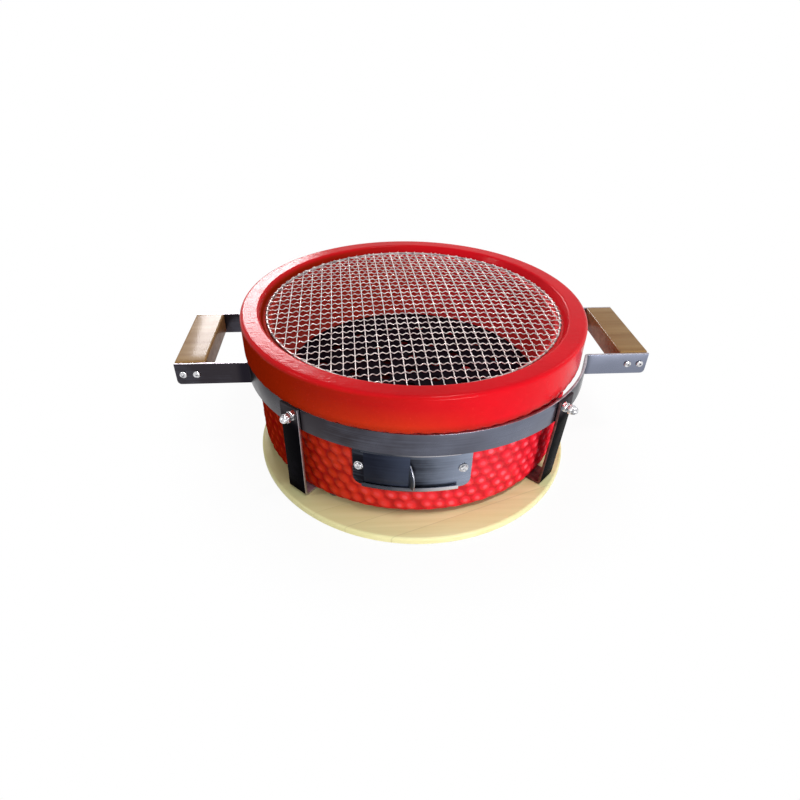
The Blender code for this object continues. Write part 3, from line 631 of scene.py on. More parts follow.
def wood_material(name, pale, dark, turn, strip, coat=0.12, left_darkening=(-1.0, -0.9)):
    """Glued strips along one direction, each with its own tone, thin seams and long grain.

    turn is that direction and strip the width of one; the last argument holds the two places on X
    between which the wood goes from darker, towards the left, to its own tone."""
    m = new_material(name)
    turn = radians(turn)
    across = m.math("DIVIDE", m.split(m.point(turn=turn))[1], strip)
    number = m.math("FLOOR", across)
    tone = m.node("TexWhiteNoise", {"W": number}, noise_dimensions="1D").outputs["Value"]
    shift = m.node("CombineXYZ", {"X": m.times(number, 3.7)}).outputs[0]
    moved = m.node("VectorMath", {0: m.point((5.0, 130.0, 130.0), turn), 1: shift}, operation="ADD")
    grain = m.noise(moved.outputs[0], 1, 5, 0.55)
    broad = m.noise(m.point((3.0, 26.0, 26.0), turn), 1.0, 2.0)
    darker, seam_colour = (tuple(part * c for c in dark) for part in (0.8, 0.45))
    colour = m.mix(m.spread(grain, 0.35, 0.7), pale, dark)
    colour = m.mix(m.spread(broad, 0.35, 0.65, 0, 0.35), colour, dark)
    colour = m.mix(m.spread(tone, 0, 1, 0, 0.3), colour, darker)
    # Darker towards the left.
    colour = m.mix(m.ease(m.split(m.point())[0], *left_darkening, 0.8, 0), colour, darker)
    near = m.math("ABSOLUTE", m.minus(m.math("FRACT", across), 0.5))
    seam = m.times(m.ease(near, 0.48, 0.497), m.times(tone, 0.5))
    m.set("Base Color", m.mix(seam, colour, seam_colour))
    m.set("Roughness", m.spread(grain, 0.3, 0.7, 0.42, 0.55))
    m.set("Specular IOR Level", 0.08)
    m.set("Coat Weight", coat)
    m.set("Coat Roughness", 0.17)
    m.bump(m.minus(m.times(grain, 0.5), seam), 0.25, 0.0004)
    return m.owner


def rubber_material():
    m = new_material("black_rubber")
    point = m.point()
    m.set("Base Color", m.mix(m.noise(point, 300), (0.008, 0.008, 0.009), (0.03, 0.029, 0.03)))
    m.set("Roughness", 0.75)
    m.bump(m.noise(point, 900), 0.4, 0.0003)
    return m.owner


# Bowl, grate, pads and board

def bump_depth(angles, heights):
    """How deep the wall lies at each angle and height.

    The bumps stand on a staggered lattice whose points wander a little. Each is the round hill
    h = 1 - (distance / reach) squared; they melt together as log(sum(exp(melt * h))) / melt, and
    the wall lies BUMP_DEPTH * (1 - that) below the bumps' tops."""
    chance = np.random.default_rng(11)
    rows = int(heights.max() / BUMP_ROW) + 6
    wander = chance.uniform(-BUMP_WANDER, BUMP_WANDER, (2, rows, BUMPS_ROUND))
    size = chance.uniform(*BUMP_SIZES, (rows, BUMPS_ROUND))
    pitch = 2 * np.pi * BODY_RADIUS / BUMPS_ROUND
    level = heights[:, None] / BUMP_ROW + 0 * angles[None, :]
    turn = angles[None, :] * BUMPS_ROUND / (2 * np.pi) + 0 * heights[:, None]
    total = np.zeros(level.shape)
    for row_step in (-1, 0, 1, 2):
        row = np.floor(level) + row_step
        stagger = 0.5 * (row % 2)
        for column_step in (-1, 0, 1):
            column = np.round(turn - stagger) + column_step
            at = (row.astype(int) % rows, column.astype(int) % BUMPS_ROUND)
            across = (turn - stagger - column) * pitch - wander[0][at]
            up = (level - row) * BUMP_ROW - wander[1][at]
            away = ((across + BUMP_SLANT * up) ** 2 + up ** 2) / (BUMP_REACH * size[at]) ** 2
            total += np.exp(BUMP_MELT * (1.0 - away))
    return BUMP_DEPTH * np.clip(1.0 - np.log(total) / BUMP_MELT, 0.0, 1.0)


def bowl_rows():
    """Section from the middle of the floor, up inside, over the rim, down outside, to the axis."""
    fillet, inner, outer, lower, wall_step = 0.012, 0.003, 0.0045, 0.0025, 0.0013
    low, foot = BOWL_UNDERSIDE + BODY_EDGE, BODY_RADIUS - BODY_TAPER
    return np.concatenate((
        [[0.0, FLOOR]],
        line((0.02, FLOOR), (ASH_RADIUS - fillet, FLOOR), 4),
        arc(ASH_RADIUS - fillet, FLOOR + fillet, fillet, -90, 0, 6),
        arc(ASH_RADIUS + 0.001, GRATE_LEDGE - 0.001, 0.001, 180, 90, 3),
        arc(FIRE_RADIUS - 0.0012, GRATE_LEDGE + 0.0012, 0.0012, -90, 0, 3),
        line((FIRE_RADIUS, GRATE_LEDGE + 0.003), (FIRE_TOP_RADIUS, GRID_LEDGE - 0.004), 6),
        arc(FIRE_TOP_RADIUS + 0.002, GRID_LEDGE - 0.002, 0.002, 180, 90, 4),
        arc(WELL_RADIUS - 0.001, GRID_LEDGE + 0.001, 0.001, -90, 0, 3),
        arc(MOUTH_RADIUS + inner, RIM_TOP - inner, inner, 165, 90, 8),
        line((MOUTH_RADIUS + inner + 0.003, RIM_TOP), (RIM_RADIUS - outer, RIM_TOP), 3),
        arc(RIM_RADIUS - outer, RIM_TOP - outer, outer, 90, 0, 10),
        line((RIM_RADIUS, RIM_TOP - outer - 0.003), (RIM_RADIUS, BUMPS_END + 0.001), 5),
        line((RIM_RADIUS, BUMPS_END), (RIM_RADIUS, RIM_UNDERSIDE + lower), 4),
        arc(RIM_RADIUS - lower, RIM_UNDERSIDE + lower, lower, 0, -90, 5),
        line((BODY_RADIUS, RIM_UNDERSIDE), (BODY_RADIUS, hoop_low.z), 4),
        line((BODY_RADIUS, hoop_low.z), (foot, low), int((hoop_low.z - low) / wall_step)),
        arc(foot - BODY_EDGE, low, BODY_EDGE, 0, -90, 8),
        line((foot - BODY_EDGE - 0.01, BOWL_UNDERSIDE), (0.02, BOWL_UNDERSIDE), 3),
        [[0.0, BOWL_UNDERSIDE]]))


def bowl_mesh():
    """The turned section, with the lower wall set back by bump_depth and the air port cut through.

    The bumps fade in over the rim's lower edge and out round the bottom edge."""
    radius, height = bowl_rows().T
    outside = np.arange(len(radius)) >= np.argmax(radius >= RIM_RADIUS - 1e-6)
    top = np.clip((BUMPS_END - height) / BUMPS_FADE, 0, 1)
    bottom = np.clip((height - BOWL_UNDERSIDE) / (0.7 * BODY_EDGE), 0, 1)
    share = outside * top * top * (3 - 2 * top) * bottom
    depth = bump_depth(full_turn(BOWL_STEPS), height) * share[:, None]
    rows = list(zip(radius[:, None] - depth, height))
    bowl = new_object("bowl", turned_mesh("bowl", rows, BOWL_STEPS, BOWL_SHARP))
    past, inside = BODY_RADIUS + 0.003, ASH_RADIUS - 0.01
    outline = rounded_rectangle(PORT_WIDTH, PORT_HEIGHT, PORT_CORNER, 6)
    block = flat_sheet("port", [outline], past - inside, 0.0)
    block = place(block, radial_matrix(PORT_ANGLE, past - (past - inside) / 2, PORT_MIDDLE))
    cutter = new_object("port", block)
    hole = bowl.modifiers.new("port", "BOOLEAN")
    hole.operation, hole.object, hole.solver = "DIFFERENCE", cutter, "EXACT"
    made = applied(bowl)
    bpy.data.objects.remove(cutter, do_unlink=True)
    made.set_sharp_from_angle(angle=radians(BOWL_SHARP))
    return made


def grate_mesh():
    """Round plate with rings of round holes."""
    outlines = [circle(0, 0, GRATE_RADIUS, 180)]
    for radius, count, phase in GRATE_RINGS:
        for a in np.radians(phase + 360.0 * np.arange(count) / count):
            outlines.append(circle(radius * cos(a), radius * sin(a), GRATE_HOLE, 32))
    mesh = flat_sheet("grate", outlines, grate_high.z - grate_low.z, GRATE_EDGE)
    return place(mesh, Matrix.Translation((0, 0, (grate_low.z + grate_high.z) / 2)))


def pad_mesh(node):
    low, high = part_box(node)
    half, radius, edge = (high.z - low.z) / 2, (high.x - low.x) / 2, PAD_EDGE
    rows = np.concatenate(([[0, half]], arc(radius - edge, half - edge, edge, 90, 0, 3),
                           arc(radius - edge, edge - half, edge, 0, -90, 3), [[0, -half]]))
    return place(turned_mesh(node, rows, 48), Matrix.Translation((low + high) / 2))


def board_mesh():
    """Disc with rounded edges; its middle lies towards the front of the bowl's axis."""
    radius, edge = board_high.x, BOARD_EDGE
    rows = np.concatenate(([[0, BOARD_TOP]], line((0.02, BOARD_TOP), (radius - edge, BOARD_TOP), 5),
                           arc(radius - edge, BOARD_TOP - edge, edge, 90, 0, 8),
                           arc(radius - edge, edge, edge, 0, -90, 8), [[0.02, 0.0], [0, 0]]))
    middle = Matrix.Translation((0, (board_low.y + board_high.y) / 2, 0))
    return place(turned_mesh("board", rows, 360), middle)


# Woven grid

def in_plan(side, along, layer):
    """x and y of places given across and along the run of a layer's wires."""
    return (side, along) if layer is MESH_DEEP else (along, side)


def mesh_phase(x, y, layer):
    """Number of the wire at a place in plan, and in between as a fraction.

    It is (cos(turn) x + sin(turn) y + bend . (x squared, x y, y squared) - shift) / pitch for the
    wires that run deep, and the same with the turned y axis for the wires that run across."""
    pitch, shift, turn, bend = layer
    c, s = cos(radians(turn)), sin(radians(turn))
    main = c * x + s * y if layer is MESH_DEEP else c * y - s * x
    return (main + bend[0] * x * x + bend[1] * x * y + bend[2] * y * y - shift) / pitch


def wire_side(along, number, layer):
    """Place of a wire across its run, found by stepping towards mesh_phase = number."""
    pitch, shift = layer[:2]
    side = number * pitch + shift + 0 * along
    for _ in range(4):
        side = side + (number - mesh_phase(*in_plan(side, along, layer), layer)) * pitch
    return side


def wire_end(number, layer, way):
    """Where a wire meets the ring, going up (1) or down (-1) its run."""
    along = way * sqrt(GRID_RING ** 2 - (number * layer[0] + layer[1]) ** 2)
    for _ in range(6):
        side = float(wire_side(np.array(along), number, layer))
        along = way * sqrt(max(GRID_RING ** 2 - side ** 2, 1e-6))
    return along


def woven_wires(layer, other, sign):
    """Crimped wires over the dome: each rises and falls by crimp * cos(3 pi * phase).

    The phase counts the crossing wires, so there are three half waves between two crossings, and
    every wire has the opposite wave to its neighbour: it passes over one wire and under the next.
    At the ring each end turns down and back round the ring wire. The dome is a paraboloid,
    height * (1 - r squared / ring squared)."""
    ring = full_turn(MESH_SIDES)
    edge = GRID_RING - 0.005
    lowest, highest = (mesh_phase(*in_plan(side, 0.0, layer), layer) for side in (-edge, edge))
    hook = np.radians(np.linspace(97, -150, 12))
    rise = np.linspace(0.15, 0.85, 4)
    end = np.concatenate((-MESH_END * (1 - rise), HOOK * np.cos(hook)))
    end_z = np.concatenate((HOOK * rise * rise * (3 - 2 * rise), HOOK * np.sin(hook)))
    points, faces, first = [], [], 0
    for number in range(ceil(lowest), floor(highest) + 1):
        low, high = wire_end(number, layer, -1), wire_end(number, layer, 1)
        run = np.linspace(low + MESH_END, high - MESH_END, int((high - low) / MESH_STEP))
        turn = (-1.0) ** number
        along = np.concatenate((low - end[::-1], run, high + end))
        side = wire_side(along, number, layer)
        x, y = in_plan(side, along, layer)
        fade = np.clip(np.minimum(run - low - MESH_END, high - MESH_END - run) / MESH_FADE, 0, 1)
        phase = mesh_phase(x, y, other)[len(end):len(end) + len(run)]
        wave = sign * turn * MESH_CRIMP * np.cos(3 * np.pi * phase) * fade
        dome = GRID_DOME * np.clip(1 - (x * x + y * y) / GRID_RING ** 2, 0, 1)
        z = np.concatenate((turn * end_z[::-1], wave, turn * end_z)) + dome
        ds, dz = np.gradient(along), np.gradient(z)
        length = np.hypot(ds, dz)
        ds, dz = ds / length, dz / length
        across = side[:, None] + np.cos(ring)[None] * MESH_WIRE
        normal = np.sin(ring)[None] * MESH_WIRE
        run_at = along[:, None] - dz[:, None] * normal
        height = z[:, None] + ds[:, None] * normal + GRID_MIDDLE
        points.append(np.stack((*in_plan(across, run_at, layer), height), -1).reshape(-1, 3))
        faces += tube_faces(len(along), MESH_SIDES, first)
        first += len(along) * MESH_SIDES
    return make_mesh("wires", np.concatenate(points), faces, 60.0)


# Frame

def hoop_path():
    """Middle line of the front hoop: arm, bend, round the bowl, bend, arm.

    The hoop's circle stands about its own middle (X, Y). The bend's circle touches the arm's line
    and the hoop's circle from outside, so beside the hoop's middle its centre lies
    sqrt((R + b) squared - (y + Y + b) squared) away for hoop radius R, arm line y and bend b."""
    radius = HOOP_INNER + BAR / 2
    drop = ARM_FACE - BAR / 2 + HOOP_SHIFT_Y + ARM_BEND
    reach = sqrt((radius + ARM_BEND) ** 2 - drop ** 2)
    meet = degrees(atan2(drop, reach))
    halves = []
    for side, end in ARM_ENDS.items():
        y = -drop + ARM_BEND
        tip = (end - side * HOOP_SHIFT_X, y)
        corner = (tip[0] - 2 * ARM_CORNER, y)
        bend = arc(reach, -drop, ARM_BEND, 90, 180 - meet, 12)
        around = arc(0, 0, radius, -meet, -90, 120)[1:]
        half = np.concatenate((line(tip, corner, 16), line(corner, (reach, y), 30), bend, around))
        halves.append(half * [side, 1] + [HOOP_SHIFT_X, HOOP_SHIFT_Y])
    return np.concatenate((halves[1], halves[0][::-1][1:]))


def hoop_mesh(side):
    """Flat bar along the path; near each arm's end its lower edge rises by c - sqrt(c^2 - d^2),
    where c is the corner's radius and d the distance past the start of the corner."""
    path = hoop_path() * [1, -side]
    way = directions(path)
    centres = np.column_stack((path, np.full(len(path), HOOP_MIDDLE)))
    sides = np.column_stack((-way[:, 1], way[:, 0], np.zeros(len(path))))
    sections = np.repeat(rounded_rectangle(BAR, HOOP_HEIGHT, BAR_EDGE, 3)[None], len(path), 0)
    to_end = np.minimum(ARM_ENDS[1.0] - path[:, 0], ARM_ENDS[-1.0] + path[:, 0])
    past = np.clip(ARM_CORNER - to_end, 0, ARM_CORNER)
    rise = ARM_CORNER - np.sqrt(ARM_CORNER ** 2 - past ** 2)
    share = np.clip(0.5 - sections[..., 1] / HOOP_HEIGHT, 0, 1)
    sections[..., 1] += rise[:, None] * share
    return swept_mesh("hoop", sections, centres, sides, UP)


def leg_mesh(angle, lean):
    """Bar down the hoop's outside, leaning in below it, round a bend and in as a foot.

    In the side view x counts outward from the leg's outer face, z up from the foot's underside."""
    top, kink, half = hoop_high.z - FOOT_UNDERSIDE, LEG_KINK - FOOT_UNDERSIDE, BAR / 2
    path = np.concatenate((line((-half, top), (-half, kink), 8),
                           line((-half, kink), (-lean - half, LEG_BEND), 24),
                           arc(-lean - LEG_BEND, LEG_BEND, LEG_BEND - half, 0, -90, 10),
                           line((-lean - LEG_BEND, half), (-FOOT_LENGTH, half), 12)[1:],
                           [[-FOOT_LENGTH, half]]))
    way, zero = directions(path), np.zeros(len(path))
    centres = np.column_stack((zero, path[:, 1], path[:, 0]))
    ups = np.column_stack((zero, way[:, 0], -way[:, 1]))
    section = rounded_rectangle(LEG_WIDTH, BAR, BAR_EDGE, 3)
    mesh = swept_mesh("leg", section, centres, (1.0, 0.0, 0.0), ups)
    return place(mesh, hoop_matrix(angle, LEG_OUTER, FOOT_UNDERSIDE))


def recolour_facing(mesh, material, way, at_least, below=1.0):
    """Give a second material to the faces that look along way, or against it, under a height."""
    mesh.materials.append(material)
    count = len(mesh.polygons)
    normals, centres = np.zeros(count * 3, np.float32), np.zeros(count * 3, np.float32)
    mesh.polygons.foreach_get("normal", normals)
    mesh.polygons.foreach_get("center", centres)
    facing = np.abs(normals.reshape(-1, 3) @ np.array(way, np.float32)) > at_least
    picked = facing & (centres.reshape(-1, 3)[:, 2] < below)
    index = np.zeros(count, np.int32)
    mesh.polygons.foreach_get("material_index", index)
    mesh.polygons.foreach_set("material_index", np.where(picked, len(mesh.materials) - 1, index))


def handle_mesh(node):
    """Rounded bar: its section shrinks by edge * (1 - cos) over the last stretch at each end."""
    low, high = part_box(node)
    width, height, length = high.x - low.x, high.z - low.z, high.y - low.y
    turn = np.radians(np.linspace(90, 0, 7))
    round_end = HANDLE_EDGE * (1 - np.sin(turn))
    shrink = np.concatenate((round_end[::-1], np.zeros(8), round_end))
    shrink = np.minimum(shrink, 0.96 * HANDLE_EDGE)
    end = length / 2 - HANDLE_EDGE
    last = end + HANDLE_EDGE * np.cos(turn)
    ys = np.concatenate((-last[::-1], np.linspace(-end, end, 10)[1:-1], last))
    sections = np.array([rounded_rectangle(width - 2 * s, height - 2 * s, HANDLE_EDGE - s, 6)
                         for s in shrink])
    centres = np.array([((low.x + high.x) / 2, y, (low.z + high.z) / 2) for y in ys])
    return swept_mesh("handle", sections, centres, (1.0, 0.0, 0.0), UP)


# Fasteners

def six_sided(flat_radius, limit, steps):
    """Radius of a hexagon at each angle, no more than limit: flat / cos(angle to the flat)."""
    part = 2 * np.pi / 6
    off = (full_turn(steps) + part / 2) % part - part / 2
    return np.minimum(flat_radius / np.cos(off), limit)


def six_sided_rows(width, height, steps, shoulder=0.97):
    """(r, z) rows up a six-sided body, whose corners are chamfered at both faces."""
    flat = width / 2
    limits = (0.97, 1.06, 1.155, 1.155, 1.06, shoulder)
    heights = (0, 0.0004, 0.0009, height - 0.0009, height - 0.0004, height)
    return [(six_sided(flat, flat * limit, steps), z) for limit, z in zip(limits, heights)]


def nut_mesh(steps=72):
    """Six-sided nut, closed round its bore."""
    rows = [(NUT_BORE, 0), *six_sided_rows(NUT_WIDTH, NUT_HEIGHT, steps), (NUT_BORE, NUT_HEIGHT)]
    return ring_mesh("nut", rows, steps, 25.0)


def cap_nut_mesh(steps=72):
    """Six-sided body closed by half an ellipsoid."""
    rows = [(0, 0), *six_sided_rows(NUT_WIDTH, CAP_BODY, steps, 0.96)]
    rows += [(CAP_DOME_RADIUS * cos(a), CAP_BODY + CAP_DOME_HEIGHT * sin(a))
             for a in np.radians(np.linspace(0, 90, 12))]
    return turned_mesh("cap_nut", rows, steps, 28.0)


def screw_mesh(steps=48):
    """Round-headed screw along Z with a six-sided socket; shank below zero."""
    head, height = SCREW_HEAD, SCREW_HEAD_HEIGHT
    deep = height * 0.3
    key = six_sided(SCREW_SOCKET, 1.0, steps)
    rows = [(0, deep), (key * 0.97, deep), (key, height * 0.9), (key * 1.04, height * 0.96)]
    rows += [(head - 0.45 * head * (1 - cos(a)), height * (0.35 + 0.63 * sin(a)))
             for a in np.radians(np.linspace(80, 0, 7))]
    rows += [(head, SEAT_GAP + 0.0002), (head - 0.0002, SEAT_GAP), (SCREW_SHANK, SEAT_GAP),
             (SCREW_SHANK, -SCREW_LENGTH), (0, -SCREW_LENGTH)]
    return turned_mesh("screw", rows, steps)


def vent_bolt_mesh(steps=72):
    """Six-sided head with a rounded top on a round flange."""
    head, flange, base, top = VENT_BOLT_HEAD, VENT_BOLT_FLANGE, SEAT_GAP, VENT_BOLT_TOP
    flat = head * 0.9
    hexagon = six_sided(flat, head, steps)
    rows = [(0, top), (head * 0.55, top), (six_sided(flat, head * 0.86, steps), top * 0.95),
            (hexagon, top * 0.8), (hexagon, base + 0.0008), (flange * 0.97, base + 0.0007),
            (flange, base + 0.0005), (flange, base), (VENT_BOLT_SHANK, base),
            (VENT_BOLT_SHANK, -VENT_BOLT_LENGTH), (0, -VENT_BOLT_LENGTH)]
    return turned_mesh("vent_bolt", rows, steps, 25.0)


def leg_bolt_mesh(end, steps=48):
    """Low domed head inside the hoop, and a threaded shank out through the leg.

    The thread is a wave of the radius: r - depth + depth * cos(turns - angle)."""
    head, height, shank = LEG_HEAD, LEG_HEAD_HEIGHT, LEG_SHANK
    rows = [(0, height), (head * 0.35, height * 0.98), (head * 0.7, height * 0.86),
            (head * 0.93, height * 0.55), (head, height * 0.25), (head, SEAT_GAP), (shank, SEAT_GAP)]
    for z in np.arange(-0.0005, -end + 0.0005, -0.0002):
        wave = THREAD_DEPTH * np.cos(2 * np.pi * z / THREAD_PITCH - full_turn(steps))
        rows.append((shank - THREAD_DEPTH + wave, z))
    rows += [(shank * 0.9, -end), (0, -end)]
    return turned_mesh("leg_bolt", rows, steps, 60.0)


# Air slide

def vent_plate_mesh():
    middle = (PLATE_FROM + PLATE_TO) / 2
    radius = (PLATE_INNER + PLATE_OUTER) / 2
    width = radius * radians(PLATE_TO - PLATE_FROM)
    outline = rounded_rectangle(width, VENT_HIGH - VENT_LOW, PLATE_CORNER, 8)
    shift = radius * radians(PORT_ANGLE - middle)
    port = rounded_rectangle(PORT_WIDTH, PORT_HEIGHT, PORT_CORNER, 6) + [shift, PORT_MIDDLE - VENT_MIDDLE]
    holes = [circle(radius * radians(a - middle), 0, VENT_BOLT_HOLE, 24) for a in VENT_BOLT_ANGLES]
    return wrapped_sheet("vent_plate", [outline, port] + holes, SHEET, SHEET_EDGE, radius, middle,
                         VENT_MIDDLE)


def round_bowl_mesh(name, outline, start, end):
    """A closed (radius, height) outline swept round Z between two angles."""
    a = np.radians(np.linspace(start, end, max(2, int(abs(end - start) / SWEEP_STEP)) + 1))
    out = np.column_stack((np.cos(a), np.sin(a), np.zeros(len(a))))
    return swept_mesh(name, outline, np.zeros((len(a), 3)), out, UP)


def rail_mesh(edge, step):
    """Fold at the plate's long edge: out, then back over the door; its section swept round Z."""
    root, out, lip = PLATE_OUTER - SHEET / 2, LIP_OUTER, edge + step * RAIL_LIP
    inside, bend, soft = edge + step * SHEET, RAIL_BEND, 0.0003
    outline = [(root, edge), (out - bend, edge)]
    outline += [(out - bend + bend * sin(a), edge + step * (bend - bend * cos(a)))
                for a in np.radians(np.linspace(15, 90, 6))]
    outline += [(out, lip - step * soft), (out - soft, lip), (LIP_INNER + soft, lip),
                (LIP_INNER, lip - step * soft), (LIP_INNER, inside), (root, inside)]
    return round_bowl_mesh("rail", outline, RAIL_FROM, RAIL_TO)


def door_mesh():
    low, high = VENT_LOW + SHEET + SEAT_GAP, VENT_HIGH - SHEET - SEAT_GAP
    section = rounded_rectangle(SHEET, high - low, SHEET_EDGE, 2)
    section += [(DOOR_INNER + DOOR_OUTER) / 2, (low + high) / 2]
    return round_bowl_mesh("door", section, DOOR_FROM, DOOR_TO)


def tab_mesh():
    """Ear of the door, leaning out from its right edge.

    At the share t of its height it reaches out by reach * (0.8 + 0.6 t - 1.4 t t) * (1 + 0.25 t)."""
    t = np.linspace(0.02, 0.98, 24)
    reach = TAB_REACH * (0.8 + 0.6 * t - 1.4 * t * t) * (1.0 + 0.25 * t)
    edge = np.column_stack((np.maximum(reach, 0.0002), TAB_HEIGHT * t))
    outline = np.concatenate(([[-TAB_EDGE, 0.0], [TAB_REACH * 0.78, 0.0]], edge, [[-TAB_EDGE, TAB_HEIGHT]]))
    mesh = flat_sheet("tab", [outline], SHEET, TAB_EDGE)
    out, lean = outward(DOOR_TO), radians(TAB_LEAN)
    side = UP.cross(out)
    way = out * cos(lean) + side * sin(lean)
    corner = out * (DOOR_OUTER - SHEET / 4) - side * 0.0004 + UP * (VENT_LOW + RAIL_LIP + 0.0007)
    return place(mesh, axes_matrix(way, UP, way.cross(UP), corner))


def arm_matrix(x, side):
    """Local Z points away from the handle, at an arm's outer face."""
    matrix = Matrix.Rotation(radians(90 if side < 0 else -90), 4, "X")
    matrix.translation = (x, side * ARM_FACE, HOOP_MIDDLE)
    return matrix


# Object

def build_bowl():
    glaze = glaze_material()
    iron = black_material("black_iron", (0.005, 0.003, 0.006), (0.02, 0.015, 0.02), 0.55, 0.02, 0.5)
    rubber = rubber_material()
    wire = wire_material("grid_wire", (0.42, 0.36, 0.35), (0.84, 0.76, 0.74), 0.26)
    ring = wire_material("grid_ring_wire", (0.2, 0.17, 0.17), (0.62, 0.55, 0.53), 0.34)
    add_piece("bowl", bowl_mesh(), glaze, "grill", "red_glazed_clay", "clay_bowl")
    add_piece("grate", grate_mesh(), iron, "grate", "black_iron", "charcoal_grate")
    for i in (1, 2, 3):
        add_piece(f"pad_{i}", pad_mesh(f"bowl_pad_{i}"), rubber, "grill", "black_pad", f"bowl_pad_{i}")
    for name, layer, other, sign in (("grid_wires_across", MESH_ACROSS, MESH_DEEP, -1.0),
                                     ("grid_wires_deep", MESH_DEEP, MESH_ACROSS, 1.0)):
        add_piece(name, woven_wires(layer, other, sign), wire, "grid", "grid_wire", "cooking_grid")
    ring_wire = ring_mesh("ring", circle(GRID_RING, GRID_MIDDLE, RING_WIRE, 12), 360)
    add_piece("grid_ring", ring_wire, ring, "grid", "grid_wire", "cooking_grid")


def build_board():
    wood = wood_material("board_wood", (0.88, 0.84, 0.5), (0.74, 0.7, 0.35), -20, 0.032,
                         left_darkening=(-0.17, 0.03))
    add_piece("board", board_mesh(), wood, "board", "board_wood", "serving_board")


def build_frame():
    # The flat bar's dark and light colours are the ends of a painted reflection, dark on the left.
    bar = steel_material("flat_bar", (0.036, 0.031, 0.037), (0.21, 0.23, 0.3), (18.0, 18.0, 900.0),
                         (-0.16, 0.22), dark_band=(0.145, 0.16, 0.196, 0.206))
    # The legs' near-black is a painted dark reflection, with a painted highlight (upper) beside the hoops.
    leg_bar = black_material("leg_bar", (0.001, 0.0008, 0.0015), (0.005, 0.004, 0.007), 0.22, 0.004, 0.1,
                             upper=(0.05, 0.044, 0.05))
    # Painted light: lit copies for the bars' edges and the feet's tops, and shaded copies, with a painted
    # red reflection, for leg 2.
    edge = wire_material("lit_edge", (0.34, 0.3, 0.33), (0.52, 0.48, 0.52), 0.3)
    lit_foot_top = wire_material("lit_foot_top", (0.42, 0.35, 0.42), (0.6, 0.52, 0.6), 0.45)
    shaded_edge = wire_material("shaded_edge", (0.1, 0.045, 0.045), (0.2, 0.1, 0.1), 0.35)
    shaded_foot = wire_material("shaded_foot", (0.12, 0.035, 0.035), (0.26, 0.09, 0.09), 0.45)
    # The bright fasteners' darker patches are painted dark reflections.
    bright = wire_material("bright_steel", (0.28, 0.28, 0.3), (0.86, 0.86, 0.88), 0.16, 420.0)
    for name, side in (("front", -1.0), ("rear", 1.0)):
        hoop = add_piece(f"hoop_{name}", hoop_mesh(side), bar, "grill", "frame_flat_bar", f"{name}_hoop")
        # The hoops' top and bottom faces take the painted lit edge colour.
        recolour_facing(hoop.data, edge, UP, 0.9)
    head_seat = HOOP_INNER - LEG_HEAD_SEAT
    nut_base = LEG_OUTER + SEAT_GAP
    cap_base = nut_base + NUT_HEIGHT + CAP_STANDOFF
    bolt = leg_bolt_mesh(cap_base + LEG_SHANK_PAST_CAP - SEAT_GAP - head_seat)
    place(bolt, Matrix.Rotation(pi, 4, "X"))
    hardware = (("bolt", bolt, head_seat), ("nut", nut_mesh(), nut_base),
                ("cap_nut", cap_nut_mesh(), cap_base))
    for number, (angle, lean, side) in enumerate(zip(LEG_ANGLES, LEG_LEANS, LEG_BOLT_SIDES), start=1):
        leg = add_piece(f"leg_bar_{number}", leg_mesh(angle, lean), leg_bar, "grill", "frame_flat_bar",
                        f"leg_{number}")
        # Leg 2 takes the shaded copies, the other legs the lit ones.
        leg_edge, foot = (shaded_edge, shaded_foot) if number == 2 else (edge, lit_foot_top)
        recolour_facing(leg.data, leg_edge, UP.cross(outward(angle)), 0.7)
        recolour_facing(leg.data, foot, UP, 0.9, BOARD_TOP + 2 * BAR)
        for kind, mesh, base in hardware:
            matrix = hoop_matrix(angle, base, LEG_BOLT_HEIGHT, side * LEG_BOLT_ASIDE)
            add_piece(f"leg_{kind}_{number}_bright", place(mesh.copy(), matrix), bright, "grill",
                      "bright_fasteners", f"leg_{kind}_{number}")
    return bright


def build_handles(bright):
    wood = wood_material("handle_wood", (0.33, 0.2, 0.075), (0.22, 0.115, 0.038), 90, 0.9, coat=0.25)
    screw = screw_mesh()
    for side_name, sign in (("left", -1.0), ("right", 1.0)):
        node = f"{side_name}_handle"
        add_piece(f"handle_{side_name}", handle_mesh(node), wood, "grill", "handle_wood", node)
        for end_name, side in (("front", -1.0), ("rear", 1.0)):
            for i, from_end in enumerate(SCREWS_FROM_END, start=1):
                mesh = place(screw.copy(), arm_matrix(sign * (ARM_ENDS[sign] - from_end), side))
                add_piece(f"screw_{side_name}_{end_name}_{i}", mesh, bright, "grill",
                          "bright_fasteners", f"handle_screw_{side_name}_{end_name}_{i}")


